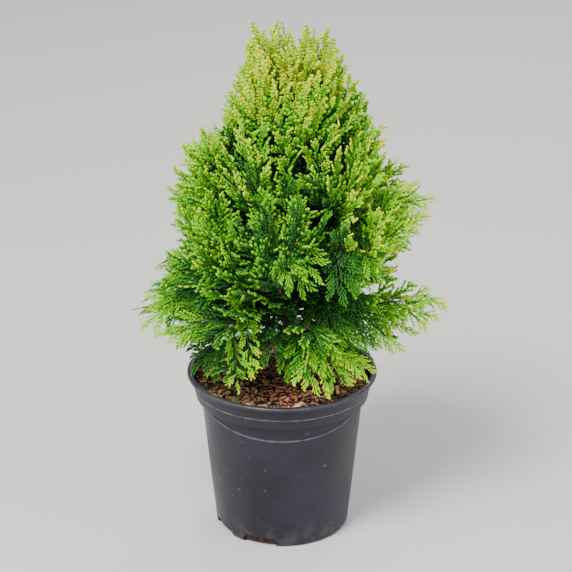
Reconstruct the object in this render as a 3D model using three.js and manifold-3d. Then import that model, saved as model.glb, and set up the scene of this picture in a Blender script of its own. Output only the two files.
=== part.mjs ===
// A young thuja in a round plastic nursery pot, in millimetres, with +Z up.
// The origin is the centre of the pot's flat underside. Azimuths are in degrees: 0 is the plant's
// right (+X), 90 its back (+Y), 180 its left and 270 its front.

import * as THREE from "three";
import { mergeVertices } from "three/addons/utils/BufferGeometryUtils.js";
import Module from "manifold-3d";

const wasm = await Module();
wasm.setup();

// The pot: a rolled lip, a straight collar and a tapering body with drain notches at its foot.
const POT = {
  height: 167,
  lipRadius: 95,
  lipHeight: 3.4,
  collarTopRadius: 91,
  collarBottomRadius: 86.5,
  collarHeight: 26,
  stepHeight: 6,
  bodyTopRadius: 80.5,
  baseRadius: 67.5,
  cornerRadius: 4,
  wall: 1.5,
  lipRound: 0.8,
  rimRound: 0.6,
  floor: 2,
  segments: 40,
};
const NOTCH = {
  height: 9,
  width: 34,
  cornerRadius: 5,
  depth: 9,
  azimuths: [207, 250, 27, 70],
};

// The compost that fills the pot, with coarse bark chips half sunk in its top.
const SOIL = {
  top: 158,
  edgeTop: 156,
  gap: 0.45,
  seatRadius: 20,
  lumpHeight: 2,
  lumpLength: 17,
  lumpPhase: 1.3,
  crossShare: 0.5,
  crossPitch: 0.6,
  rings: 6,
  segments: 30,
  chips: 9,
};
const CHIP = {
  length: 15,
  width: 6,
  thickness: 2.4,
  innerRadius: 26,
  outerRadius: 76,
  smallest: 0.7,
  sizeSpread: 0.6,
  tilts: [0.3, 0.25],
  lift: 0.3,
};

// The trunk, from a flat cut on the compost to a thin leader inside the top of the crown.
const TRUNK = {
  lift: 0.3,
  points: [
    [6, 0],
    [6, 0],
    [9, -1],
    [11, 2],
    [10, 0],
  ],
  tipHeight: 492,
  footRadius: 6.6,
  tipRadius: 0.9,
  flareRadius: 3.4,
  flareHeight: 14,
  sides: 8,
  steps: 16,
};

// Every limb ends a joint gap from what carries it, and masses keep a space gap apart. They also
// keep a clearance from the pot, whose wall leans in by a lean down to the compost. A core keeps
// clear of the trunk's line by a distance and some of the trunk's radii.
const JOINT_GAP = 0.3;
const SPACE_GAP = 0.6;
const POT_CLEARANCE = 1.2;
const POT_LEAN = 2;
const CORE_CLEARANCE = [2.5, 2.2];

// The crown's outline, from the bottom up: a height and the reach from the pot's axis at that
// height to the right, back, left and front.
const CROWN = [
  [178, [100, 82, 92, 96]],
  [190, [122, 96, 104, 100]],
  [206, [130, 106, 152, 104]],
  [225, [152, 112, 147, 108]],
  [250, [170, 118, 132, 112]],
  [275, [122, 116, 124, 112]],
  [300, [118, 114, 102, 110]],
  [330, [138, 116, 110, 110]],
  [350, [146, 115, 112, 106]],
  [378, [118, 106, 104, 98]],
  [402, [104, 94, 96, 86]],
  [417, [101, 84, 80, 76]],
  [440, [86, 70, 60, 64]],
  [463, [74, 56, 50, 50]],
  [488, [64, 50, 36, 46]],
  [510, [50, 36, 32, 34]],
  [526, [44, 28, 28, 26]],
];

// The tiers of the crown, from the lowest up. Each has count boughs, turned by turn degrees, that
// leave the trunk between two heights with the radius girth and end on the crown's outline at the
// height tip, given for the right, back, left and front. rise and tipRise are a bough's slopes at
// the trunk and at its tip, and middle is how far along it the space of its foliage is centred.
// Open tiers hold their sprays on twigs beside a bare stem; dense tiers hold them round a core that
// reaches the share core of the outline. spray is a spray's length, with its width as a share of
// it; lift turns the sprays upwards and roll is how far their faces may turn.
const TIERS = [
  {
    name: "skirt", count: 5, turn: 17, foot: [184, 198], tip: [204, 200, 212, 178], girth: 2.5,
    rise: 28, tipRise: -34, middle: 0.66, sprays: 9, spray: 52, width: 0.54, teeth: 2, twig: 12,
    core: 0, lift: -0.1, roll: 0.9, leaf: "inner",
  },
  {
    name: "lower", count: 6, turn: 348, foot: [206, 226], tip: [250, 246, 238, 234], girth: 3,
    rise: 44, tipRise: -12, middle: 0.68, sprays: 11, spray: 54, width: 0.54, teeth: 2, twig: 12,
    core: 0, lift: 0.1, roll: 1.2, leaf: "inner",
  },
  {
    name: "middle", count: 6, turn: 32, foot: [232, 254], tip: [346, 336, 334, 312], girth: 2.8,
    rise: 38, tipRise: 48, middle: 0.62, sprays: 13, spray: 48, width: 0.52, teeth: 1, twig: 0,
    core: 0.6, lift: 0.4, roll: 1.6, leaf: "inner",
  },
  {
    name: "shoulder", count: 5, turn: 36, foot: [284, 312], tip: [404, 402, 412, 378], girth: 2.5,
    rise: 50, tipRise: 74, middle: 0.62, sprays: 12, spray: 46, width: 0.52, teeth: 1, twig: 0,
    core: 0.58, lift: 0.8, roll: 1.6, leaf: "inner",
  },
  {
    name: "upper", count: 4, turn: 30, foot: [344, 376], tip: [482, 470, 472, 456], girth: 2.1,
    rise: 62, tipRise: 80, middle: 0.6, sprays: 12, spray: 42, width: 0.5, teeth: 1, twig: 0,
    core: 0.56, lift: 1.1, roll: 1.6, leaf: "outer",
  },
  {
    name: "leader", count: 4, turn: 10, foot: [448, 460], tip: [520, 510, 524, 504], girth: 2,
    rise: 62, tipRise: 86, middle: 0.6, sprays: 10, spray: 30, width: 0.46, teeth: 1, twig: 0,
    core: 0.55, lift: 0.9, roll: 1.2, leaf: "outer", limbless: true,
  },
];

// A bough is the bare part of its line, a stem the leafy part and a twig the stalk of one spray.
// Radii at a bough's tip and a stem's foot are shares of the bough's girth.
const BOUGH = { tipShare: 0.6, sides: 4, steps: 3, leastShare: 0.25 };
const STEM = { footShare: 0.55, tipRadius: 0.9, sides: 4, steps: 3, sprayOverlap: 0.8 };
const TWIG = {
  halfWidth: 0.8,
  halfThickness: 0.55,
  first: 0.08,
  spread: 38,
  spreadJitter: 12,
  turnBack: 3,
  thinning: 0.4,
  shortest: 0.8,
  lengthSpread: 0.5,
};

// The core of a dense mass swells from a hub, which lies within a share of the core's outline. Its
// sprays' feet are sunk in it, at a share of its room.
const CORE = { hubShare: 0.75, sides: 7, rings: 4, step: 1, least: 4, longest: 60, rootShare: 0.8 };

// A spray is a flat, toothed fan, thickest at its centre. Its centre, waist and sunk foot are
// given as shares of its length, and its droop as the fall of its tip. sideTurn and slopes are how
// far round and how high on a core it may stand. A spray that would leave its space is tried again,
// turned and shortened by shrink.
const SPRAY = {
  centre: 0.42,
  waist: [0.04, 0.06],
  sink: 0.14,
  thickness: 1.9,
  droop: 0.1,
  limit: 1.03,
  shedSlope: 48,
  sideTurn: 95,
  slopes: [-30, 72],
  turnJitter: 14,
  slopeJitter: 10,
  leanJitter: 0.3,
  liftJitter: 0.35,
  toothJitter: 0.16,
  taper: 0.35,
  shortest: 0.85,
  lengthSpread: 0.3,
  tries: 12,
  shrink: 0.055,
};

// The teeth down each side of a spray with 1, 2 or 3 of them: how far forward and aside each
// tooth's point and the notch after it lie, as shares of the spray's length and half width.
const TEETH = {
  1: [[0.5, 1, 0.62, 0.36]],
  2: [
    [0.4, 1, 0.5, 0.4],
    [0.72, 0.72, 0.77, 0.25],
  ],
  3: [
    [0.3, 0.85, 0.42, 0.4],
    [0.55, 1, 0.61, 0.4],
    [0.8, 0.62, 0.84, 0.2],
  ],
};

const GOLDEN_ANGLE = 137.5;
const SEED = 4.7;
const WELD = 1e-4;

const radians = THREE.MathUtils.degToRad;
const mix = THREE.MathUtils.lerp;
const smoothstep = THREE.MathUtils.smoothstep;
const UP = new THREE.Vector3(0, 0, 1);

/** A number from 0 to 1 that depends only on its keys, so every twig has its own fixed draw. */
function draw(...keys) {
  const mixed = keys.reduce((sum, key, i) => sum + key * (12.9898 + 65.2432 * i), SEED);
  const wave = Math.sin(mixed) * 43758.5453;
  return wave - Math.floor(wave);
}

/** A number spread evenly round zero, up to size either way. */
const jitter = (size, ...keys) => (2 * draw(...keys) - 1) * size;

/** A closed three.js geometry as a solid that can be joined and cut. */
function toSolid(geometry) {
  const bare = new THREE.BufferGeometry();
  bare.setAttribute("position", geometry.getAttribute("position"));
  bare.setIndex(geometry.getIndex());
  const merged = mergeVertices(bare, WELD);
  const corners = merged.index.array;
  const faces = [];
  for (let i = 0; i < corners.length; i += 3) {
    const [a, b, c] = corners.slice(i, i + 3);
    if (a !== b && b !== c && c !== a) faces.push(a, b, c);
  }
  return new wasm.Manifold(
    new wasm.Mesh({
      numProp: 3,
      vertProperties: merged.getAttribute("position").array,
      triVerts: new Uint32Array(faces),
    }),
  );
}

/** A solid as a geometry for a mesh. */
function toGeometry(solid) {
  const made = solid.getMesh();
  const geometry = new THREE.BufferGeometry();
  geometry.setAttribute("position", new THREE.BufferAttribute(made.vertProperties, 3));
  geometry.setIndex(new THREE.BufferAttribute(made.triVerts, 1));
  geometry.computeVertexNormals();
  return geometry;
}

/** A profile of [radius, height] pairs turned round the Z axis. */
function turned(profile, segments) {
  const points = profile.map(([radius, height]) => new THREE.Vector2(radius, height));
  return new THREE.LatheGeometry(points, segments).rotateX(Math.PI / 2);
}

/** The pot's outer profile from the foot's corner to the lip, moved out by a distance. */
function potOutline(out) {
  const corner = [0, 45, 90].map((angle) => [
    POT.baseRadius - POT.cornerRadius * (1 - Math.sin(radians(angle))) + out,
    POT.cornerRadius * (1 - Math.cos(radians(angle))),
  ]);
  const collarBottom = POT.height - POT.collarHeight;
  return [
    ...corner,
    [POT.bodyTopRadius + out, collarBottom - POT.stepHeight],
    [POT.collarBottomRadius + out, collarBottom],
    [POT.collarTopRadius + out, POT.height - POT.lipHeight],
  ];
}

/** The pot: an open shell with a flat floor, a rolled lip and four arched drain notches. */
function buildPot() {
  const outer = potOutline(0);
  const inner = potOutline(-POT.wall)
    .slice(2)
    .reverse();
  const lipMiddle = POT.height - POT.lipHeight / 2;
  const rimRadius = POT.collarTopRadius - POT.wall;
  const floorRadius = POT.baseRadius - POT.wall - POT.cornerRadius / 2;
  const shell = toSolid(
    turned(
      [
        [0, 0],
        ...outer,
        [POT.lipRadius - POT.lipRound, POT.height - POT.lipHeight],
        [POT.lipRadius, lipMiddle],
        [POT.lipRadius - POT.lipRound, POT.height],
        [rimRadius + POT.rimRound, POT.height],
        ...inner,
        [floorRadius, POT.floor],
        [0, POT.floor],
      ],
      POT.segments,
    ),
  );
  return shell.subtract(wasm.Manifold.union(NOTCH.azimuths.map(notchCutter)));
}

/** The arched block that one drain notch is cut with, through the wall and the floor's edge. */
function notchCutter(azimuth) {
  const half = NOTCH.width / 2;
  const r = NOTCH.cornerRadius;
  const arch = new THREE.Shape()
    .moveTo(-half, -1)
    .lineTo(half, -1)
    .lineTo(half, NOTCH.height - r)
    .absarc(half - r, NOTCH.height - r, r, 0, Math.PI / 2)
    .absarc(r - half, NOTCH.height - r, r, Math.PI / 2, Math.PI);
  const block = new THREE.ExtrudeGeometry(arch, {
    depth: 2 * NOTCH.depth,
    bevelEnabled: false,
    curveSegments: 3,
  });
  block.rotateX(Math.PI / 2).rotateZ(Math.PI / 2);
  block.translate(POT.baseRadius - NOTCH.depth, 0, 0).rotateZ(radians(azimuth));
  return toSolid(block);
}

/** The height of the compost's lumpy top at a point: flat under the trunk, uneven elsewhere. */
function soilHeight(x, y) {
  const radius = Math.hypot(x - TRUNK.points[0][0], y - TRUNK.points[0][1]);
  const share = smoothstep(radius, SOIL.seatRadius, 2 * SOIL.seatRadius);
  const fall = smoothstep(radius, 2 * SOIL.seatRadius, POT.collarBottomRadius);
  const k = (2 * Math.PI) / SOIL.lumpLength;
  const lumps = Math.sin(k * x + SOIL.lumpPhase) * Math.cos(k * y);
  const cross = SOIL.crossShare * Math.sin(SOIL.crossPitch * k * (x - y));
  const uneven = (lumps + cross) / (1 + SOIL.crossShare);
  return mix(SOIL.top, SOIL.edgeTop, fall) + share * SOIL.lumpHeight * uneven;
}

/** The compost: the pot's inner shape with a lumpy top and bark chips fused on it. */
function buildSoil() {
  const inset = -POT.wall - SOIL.gap;
  const side = potOutline(inset).slice(2, 5);
  const collarShare = (SOIL.edgeTop - SOIL.lumpHeight - side[2][1]) / POT.collarHeight;
  const edge = mix(POT.collarBottomRadius, POT.collarTopRadius, collarShare) + inset;
  const foot = POT.floor + JOINT_GAP;
  const footRadius = POT.baseRadius + inset - POT.cornerRadius / 2;
  const top = Array.from({ length: SOIL.rings }, (_, i) => [
    edge * (1 - i / SOIL.rings),
    SOIL.edgeTop,
  ]);
  const profile = [[0, foot], [footRadius, foot], ...side, ...top, [0, SOIL.top]];
  const geometry = turned(profile, SOIL.segments);
  const position = geometry.getAttribute("position");
  for (let i = 0; i < position.count; i++) {
    if (position.getZ(i) < SOIL.edgeTop - 0.01) continue;
    position.setZ(i, soilHeight(position.getX(i), position.getY(i)));
  }
  const chips = Array.from({ length: SOIL.chips }, (_, i) => barkChip(i));
  return wasm.Manifold.union([toSolid(geometry), ...chips]);
}

/** One coarse chip of bark, half sunk in the compost. */
function barkChip(i) {
  const azimuth = radians(i * GOLDEN_ANGLE);
  const out = mix(CHIP.innerRadius, CHIP.outerRadius, Math.sqrt((i + 0.5) / SOIL.chips));
  const x = out * Math.cos(azimuth);
  const y = out * Math.sin(azimuth);
  const size = CHIP.smallest + CHIP.sizeSpread * draw(i, 1);
  const chip = new THREE.BoxGeometry(CHIP.length * size, CHIP.width * size, CHIP.thickness);
  chip.rotateX(jitter(CHIP.tilts[0], i, 2)).rotateY(jitter(CHIP.tilts[1], i, 3));
  chip.rotateZ(Math.PI * draw(i, 4));
  return toSolid(chip.translate(x, y, soilHeight(x, y) + CHIP.lift));
}

/** A closed tapering limb: a cylinder bent along a curve between two of its parameters.
 * across is a direction that the curve never runs along; it fixes how the limb's sides lie. */
function limb(curve, from, to, radiusAt, across, sides, steps) {
  const geometry = new THREE.CylinderGeometry(1, 1, 1, sides, steps);
  const position = geometry.getAttribute("position");
  for (let i = 0; i < position.count; i++) {
    const along = position.getY(i) + 0.5;
    const t = mix(from, to, along);
    const tangent = curve.getTangent(t);
    const first = across.clone().addScaledVector(tangent, -across.dot(tangent)).normalize();
    const second = first.clone().cross(tangent);
    const point = curve
      .getPoint(t)
      .addScaledVector(first, position.getX(i) * radiusAt(along))
      .addScaledVector(second, position.getZ(i) * radiusAt(along));
    position.setXYZ(i, point.x, point.y, point.z);
  }
  return toSolid(geometry);
}

/** The trunk's centre line, with its slight sway. */
function trunkCurve() {
  const foot = SOIL.top + TRUNK.lift;
  const last = TRUNK.points.length - 1;
  return new THREE.CatmullRomCurve3(
    TRUNK.points.map(([x, y], i) => new THREE.Vector3(x, y, mix(foot, TRUNK.tipHeight, i / last))),
  );
}

/** The trunk's radius at a share of its length, with the root flare, plus a margin. */
function trunkRadius(along, margin = 0) {
  const rise = along * (TRUNK.tipHeight - SOIL.top);
  const flare = TRUNK.flareRadius * Math.exp(-(((2 * rise) / TRUNK.flareHeight) ** 2));
  return mix(TRUNK.footRadius, TRUNK.tipRadius, along) + flare + margin;
}

/** The trunk as a solid, made fatter by a margin where something is kept clear of it. */
function buildTrunk(curve, margin = 0) {
  const across = new THREE.Vector3(1, 0, 0);
  const radiusAt = (along) => trunkRadius(along, margin);
  return limb(curve, 0, 1, radiusAt, across, TRUNK.sides, TRUNK.steps);
}

/** A value given for the right, back, left and front, blended smoothly at an azimuth. */
function around([right, back, left, front], azimuth) {
  const c = Math.cos(radians(azimuth));
  const s = Math.sin(radians(azimuth));
  return (c > 0 ? right : left) * c * c + (s > 0 ? back : front) * s * s;
}

/** A unit vector at an azimuth and a slope, in degrees. */
function heading(azimuth, slope) {
  const level = Math.cos(radians(slope));
  return new THREE.Vector3(
    level * Math.cos(radians(azimuth)),
    level * Math.sin(radians(azimuth)),
    Math.sin(radians(slope)),
  );
}

/** How far the crown reaches at an azimuth and a height. */
function crownReach(azimuth, height) {
  const last = CROWN.length - 2;
  const next = CROWN.findIndex(([top]) => top > height);
  const k = next < 0 ? last : THREE.MathUtils.clamp(next - 1, 0, last);
  const [[low, inner], [high, outer]] = [CROWN[k], CROWN[k + 1]];
  const share = THREE.MathUtils.clamp((height - low) / (high - low), 0, 1);
  return mix(around(inner, azimuth), around(outer, azimuth), share);
}

/** Whether a point lies within a share of the crown's outline. */
function inCrown(point, share) {
  const azimuth = THREE.MathUtils.radToDeg(Math.atan2(point.y, point.x));
  const top = mix(TRUNK.tipHeight, CROWN.at(-1)[0], share);
  return point.z < top && Math.hypot(point.x, point.y) < share * crownReach(azimuth, point.z);
}

/** The line of bough i of a tier, from the trunk's line to the tip of its foliage. */
function planBough(trunk, tier, tierIndex, i) {
  const azimuth = tier.turn + (360 * i) / tier.count + jitter(6, tierIndex, i, 1);
  const footHeight = mix(tier.foot[0], tier.foot[1], ((i * 3) % tier.count) / tier.count);
  const rise = TRUNK.tipHeight - SOIL.top - TRUNK.lift;
  const start = trunk.getPoint((footHeight - SOIL.top - TRUNK.lift) / rise);
  const tipHeight = around(tier.tip, azimuth);
  const reach = crownReach(azimuth, tipHeight);
  const end = heading(azimuth, 0).multiplyScalar(reach).setZ(tipHeight);
  const pull = start.distanceTo(end) / 3;
  const curve = new THREE.CubicBezierCurve3(
    start,
    start.clone().addScaledVector(heading(azimuth, tier.rise), pull),
    end.clone().addScaledVector(heading(azimuth, tier.tipRise), -pull),
    end,
  );
  return {
    tier,
    name: `${tier.name}_${i + 1}`,
    keys: [tierIndex, i],
    azimuth,
    curve,
    length: curve.getLength(),
    across: heading(azimuth + 90, 0),
    middle: curve.getPoint(tier.middle),
  };
}

/** The flat walls of a mass's space: each stands halfway to the middle of another mass. */
function spaceWalls(plan, plans) {
  return plans
    .filter((other) => other !== plan)
    .map((other) => {
      const normal = other.middle.clone().sub(plan.middle).normalize();
      const halfway = other.middle.clone().add(plan.middle).multiplyScalar(0.5);
      return new THREE.Plane(normal, SPACE_GAP / 2 - normal.dot(halfway));
    });
}

/** Whether a point is inside all the walls of a space, by a margin. */
const inSpace = (point, walls, margin = 0) =>
  walls.every((wall) => wall.distanceToPoint(point) < -margin);

/** The shares of its line at which a bough enters its own mass's space and leaves it again. */
function spanInSpace(plan) {
  const margin = plan.tier.girth;
  const steps = 80;
  const shares = Array.from({ length: steps + 1 }, (_, k) => k / steps);
  const within = shares.filter((t) => inSpace(plan.curve.getPoint(t), plan.walls, margin * (1 - t)));
  return [within[0], within.at(-1)];
}

/** The bare part of a bough, cut clear of the trunk. */
function buildBough(plan, clearTrunk, margin = 0) {
  const { girth } = plan.tier;
  const radiusAt = (along) => mix(girth, BOUGH.tipShare * girth, along) + margin;
  const { curve, across, entry } = plan;
  const whole = limb(curve, 0, entry, radiusAt, across, BOUGH.sides, BOUGH.steps);
  return whole.subtract(clearTrunk);
}

/** The corners of a spray's outline as [forward, aside], from its right foot round to its left.
 * A spray with a twig has a foot with two corners; one without comes to a point at its foot. */
function sprayOutline({ length, width, twig, teeth, girth, keys }) {
  const half = (length * width) / 2;
  const side = (sign) => {
    const size = TEETH[teeth].map(
      (_, k) => sign * half * (1 + jitter(SPRAY.toothJitter, ...keys, 10 + k, sign)),
    );
    const fan = TEETH[teeth].flatMap(([point, aside, notch, notchAside], k) => [
      [point * length, aside * size[k]],
      [notch * length, notchAside * size[k]],
    ]);
    const foot = [-twig, sign * TWIG.halfWidth * girth];
    const waist = [SPRAY.waist[0] * length, sign * SPRAY.waist[1] * length];
    return twig ? [foot, waist, ...fan] : fan;
  };
  const root = twig ? [] : [[-SPRAY.sink * length, 0]];
  return [...root, ...side(1), [length, 0], ...side(-1).reverse()];
}

/** One spray of scale leaves: a ball drawn out into a toothed fan, on its twig if it has one. */
function sprayGeometry(spray) {
  const outline = sprayOutline(spray);
  const last = outline.length - 1;
  const band = [0, 2 * Math.PI, Math.PI / 4, Math.PI / 2];
  const geometry = new THREE.SphereGeometry(1, outline.length, 2, ...band);
  const position = geometry.getAttribute("position");
  const columns = outline.length + 1;
  const sideways = spray.ahead.clone().cross(spray.normal);
  for (let i = 0; i < position.count; i++) {
    const side = 1 - Math.floor(i / columns);
    const column = (i % columns) % outline.length;
    const isFoot = spray.twig > 0 && (column === 0 || column === last);
    const ridge = isFoot ? [-spray.twig, 0] : [SPRAY.centre * spray.length, 0];
    const [forward, aside] = side === 0 ? outline[column] : ridge;
    const half = isFoot ? TWIG.halfThickness * spray.girth : SPRAY.thickness / 2;
    const bend = Math.max(forward, 0);
    const height = side * half - (SPRAY.droop * bend * bend) / spray.length;
    const point = spray.root
      .clone()
      .addScaledVector(spray.ahead, forward)
      .addScaledVector(sideways, aside)
      .addScaledVector(spray.normal, height);
    position.setXYZ(i, point.x, point.y, point.z);
  }
  return geometry;
}

/** Whether a spray keeps to its mass's space and the crown, and touches no limb or pot. */
function sprayFits(geometry, solid, plan, keptClear) {
  const position = geometry.getAttribute("position");
  const corner = new THREE.Vector3();
  for (let i = 0; i < position.count; i++) {
    corner.fromBufferAttribute(position, i);
    if (!inSpace(corner, plan.walls) || !inCrown(corner, SPRAY.limit)) return false;
  }
  return keptClear.intersect(solid).isEmpty();
}

/** Whether a point may lie inside a mass's core. */
function inCore(point, plan) {
  const fromTrunk = Math.hypot(point.x - plan.axis.x, point.y - plan.axis.y);
  if (fromTrunk < plan.trunkRoom) return false;
  return inSpace(point, plan.walls) && inCrown(point, plan.tier.core);
}

/** The hub of a mass's core: the point of its line that lies well inside the core's outline. */
function findHub(plan) {
  let share = plan.tier.middle;
  while (share > 0.1 && !inCrown(plan.curve.getPoint(share), CORE.hubShare * plan.tier.core)) {
    share -= 0.02;
  }
  return plan.curve.getPoint(share);
}

/** How far a core can swell from its hub in a direction. */
function coreRoom(plan, direction) {
  const next = plan.hub.clone().addScaledVector(direction, CORE.least + CORE.step);
  let room = CORE.least;
  while (room < CORE.longest && inCore(next, plan)) {
    room += CORE.step;
    next.addScaledVector(direction, CORE.step);
  }
  return room;
}

/** The core of a dense mass: a ball swollen to fill the inside of its space. */
function buildCore(plan) {
  const geometry = new THREE.SphereGeometry(1, CORE.sides, CORE.rings);
  const position = geometry.getAttribute("position");
  const direction = new THREE.Vector3();
  for (let i = 0; i < position.count; i++) {
    direction.fromBufferAttribute(position, i).normalize();
    direction.set(direction.x, -direction.z, direction.y);
    direction.applyAxisAngle(UP, radians(plan.azimuth));
    const point = plan.hub.clone().addScaledVector(direction, coreRoom(plan, direction));
    position.setXYZ(i, point.x, point.y, point.z);
  }
  return toSolid(geometry);
}

/** The way a spray's face is turned: across ahead, and rolled about it by an angle. */
function faceOf(ahead, outward, roll) {
  const face = outward.clone().addScaledVector(ahead, -outward.dot(ahead)).normalize();
  return face.applyAxisAngle(ahead, roll);
}

/** Spray j of an open mass: on a twig that leaves the stem on each side by turns. */
function planOpenSpray(plan, j, attempt) {
  const { tier, curve, keys } = plan;
  const share = (j + 0.7) / tier.sprays;
  const t = mix(plan.entry, plan.stemTo, mix(TWIG.first, 1, share));
  const from = curve.getPoint(t);
  const tangent = curve.getTangent(t);
  const shed = heading(plan.azimuth, SPRAY.shedSlope);
  const side = j % 2 ? -1 : 1;
  const turned = jitter(TWIG.spreadJitter, ...keys, j, 3) - TWIG.turnBack * attempt;
  const spread = radians(TWIG.spread + turned);
  const ahead = tangent
    .clone()
    .multiplyScalar(Math.cos(spread))
    .addScaledVector(plan.across, side * Math.sin(spread))
    .addScaledVector(UP, tier.lift + jitter(SPRAY.liftJitter, ...keys, j, attempt))
    .normalize();
  const shrink = (1 - SPRAY.taper * share) * (1 - SPRAY.shrink * attempt);
  const twig = tier.twig * shrink * (TWIG.shortest + TWIG.lengthSpread * draw(...keys, j, 4));
  return {
    keys: [...keys, j],
    root: from.addScaledVector(ahead, twig),
    ahead,
    normal: faceOf(ahead, shed, jitter(tier.roll, ...keys, j, 5)),
    twig,
    girth: 1 - TWIG.thinning * share,
    length: tier.spray * shrink * sprayGrowth(...keys, j, 6),
    teeth: tier.teeth,
    width: tier.width,
  };
}

/** How long one spray is beside the usual length of its tier. */
function sprayGrowth(...keys) {
  return SPRAY.shortest + SPRAY.lengthSpread * draw(...keys);
}

/** Spray j of a dense mass: it stands out of the core, which hides its foot. */
function planStandingSpray(plan, j, attempt) {
  const { tier, keys } = plan;
  const round = ((j * GOLDEN_ANGLE) / 360 + draw(...keys, 1)) % 1;
  const turn = mix(-SPRAY.sideTurn, SPRAY.sideTurn, round);
  const slope = mix(...SPRAY.slopes, (j + 0.5) / tier.sprays);
  const direction = heading(
    plan.azimuth + turn + jitter(SPRAY.turnJitter, ...keys, j, attempt),
    slope + jitter(SPRAY.slopeJitter, ...keys, j, attempt, 1),
  );
  const foot = coreRoom(plan, direction) * CORE.rootShare;
  const ahead = direction
    .clone()
    .addScaledVector(UP, tier.lift)
    .addScaledVector(plan.across, jitter(SPRAY.leanJitter, ...keys, j, attempt, 2))
    .normalize();
  return {
    keys: [...keys, j],
    root: plan.hub.clone().addScaledVector(direction, foot),
    ahead,
    normal: faceOf(ahead, direction.cross(ahead), jitter(tier.roll, ...keys, j, 5)),
    twig: 0,
    length: tier.spray * (1 - SPRAY.shrink * attempt) * sprayGrowth(...keys, j, 6),
    teeth: tier.teeth,
    width: tier.width,
  };
}

/** The spray that ends a stem and makes the tip of its mass. */
function planEndSpray(plan, attempt) {
  const { curve, keys } = plan;
  const root = curve.getPoint(plan.stemTo);
  const tip = curve.getPoint(plan.tip);
  const ahead = tip.clone().sub(root).normalize();
  const outward = plan.tier.core ? heading(plan.azimuth, 0) : UP;
  return {
    keys: [...keys, 99],
    root,
    ahead,
    normal: faceOf(ahead, outward, jitter(0.4, ...keys, 7)),
    twig: STEM.tipRadius,
    girth: 1 - TWIG.thinning,
    length: root.distanceTo(tip) * (1 - SPRAY.shrink * attempt),
    teeth: plan.tier.teeth + 1,
    width: plan.tier.width,
  };
}

/** One mass of foliage: a stem, a core where it is dense, and sprays, fused into one solid. */
function buildMass(plan, keptClear) {
  const radiusAt = (along) => mix(STEM.footShare * plan.tier.girth, STEM.tipRadius, along);
  const { tier, curve, across, entry, stemTo } = plan;
  const stemFrom = entry + JOINT_GAP / plan.length;
  const stem = limb(curve, stemFrom, stemTo, radiusAt, across, STEM.sides, STEM.steps);
  const planSpray = tier.core ? planStandingSpray : planOpenSpray;
  let sprays = null;
  for (let j = 0; j <= tier.sprays; j++) {
    for (let attempt = 0; attempt < SPRAY.tries; attempt++) {
      const spray = j ? planSpray(plan, j - 1, attempt) : planEndSpray(plan, attempt);
      const geometry = sprayGeometry(spray);
      const solid = toSolid(geometry);
      if (!sprayFits(geometry, solid, plan, keptClear)) continue;
      if (sprays && !sprays.intersect(solid).isEmpty()) continue;
      sprays = sprays ? sprays.add(solid) : solid;
      break;
    }
  }
  const body = tier.core ? stem.add(buildCore(plan)) : stem;
  return largest(sprays.add(body.subtract(keptClear)));
}

/** The largest piece of a solid. */
function largest(solid) {
  return solid.decompose().reduce((best, piece) => (piece.volume() > best.volume() ? piece : best));
}

/** The space that the pot and the compost keep clear of foliage. */
function potKeepOut() {
  const rim = POT.height + POT_CLEARANCE;
  const outside = POT.lipRadius + POT_CLEARANCE;
  const inside = POT.collarTopRadius - POT.wall - POT_CLEARANCE;
  const soil = SOIL.top + 2 * POT_CLEARANCE;
  const profile = [
    [0, 0],
    [outside, 0],
    [outside, rim],
    [inside, rim],
    [inside - POT_LEAN, soil],
    [0, soil],
  ];
  return toSolid(turned(profile, POT.segments));
}

const MATERIALS = {
  pot: new THREE.MeshStandardMaterial({ color: 0x2b2b31, roughness: 0.5 }),
  soil: new THREE.MeshStandardMaterial({ color: 0x5a3320, roughness: 0.95 }),
  bark: new THREE.MeshStandardMaterial({ color: 0x6e4734, roughness: 0.9 }),
  inner: new THREE.MeshStandardMaterial({ color: 0x3d7a2e, roughness: 0.6 }),
  outer: new THREE.MeshStandardMaterial({ color: 0x8fae2e, roughness: 0.6 }),
};

/** A solid as a named mesh. */
function named(name, solid, material) {
  const mesh = new THREE.Mesh(toGeometry(solid), material);
  mesh.name = name;
  return mesh;
}

/** Every bough's line, with the space of its mass and where its stem starts and ends in it. */
function planCrown(trunk) {
  const plans = TIERS.flatMap((tier, k) =>
    Array.from({ length: tier.count }, (_, i) => planBough(trunk, tier, k, i)),
  );
  for (const plan of plans) {
    const { tier, middle, length } = plan;
    const along = (middle.z - SOIL.top) / (TRUNK.tipHeight - SOIL.top);
    plan.axis = trunk.getPoint(along);
    plan.trunkRoom = CORE_CLEARANCE[0] + CORE_CLEARANCE[1] * trunkRadius(along);
    plan.hub = findHub(plan);
    plan.walls = spaceWalls(plan, plans);
    const [enters, leaves] = spanInSpace(plan);
    plan.entry = tier.limbless ? 0 : Math.max(enters, BOUGH.leastShare);
    plan.tip = leaves;
    plan.stemTo = Math.max(leaves - (STEM.sprayOverlap * tier.spray) / length, plan.entry + 0.1);
  }
  return plans;
}

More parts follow.
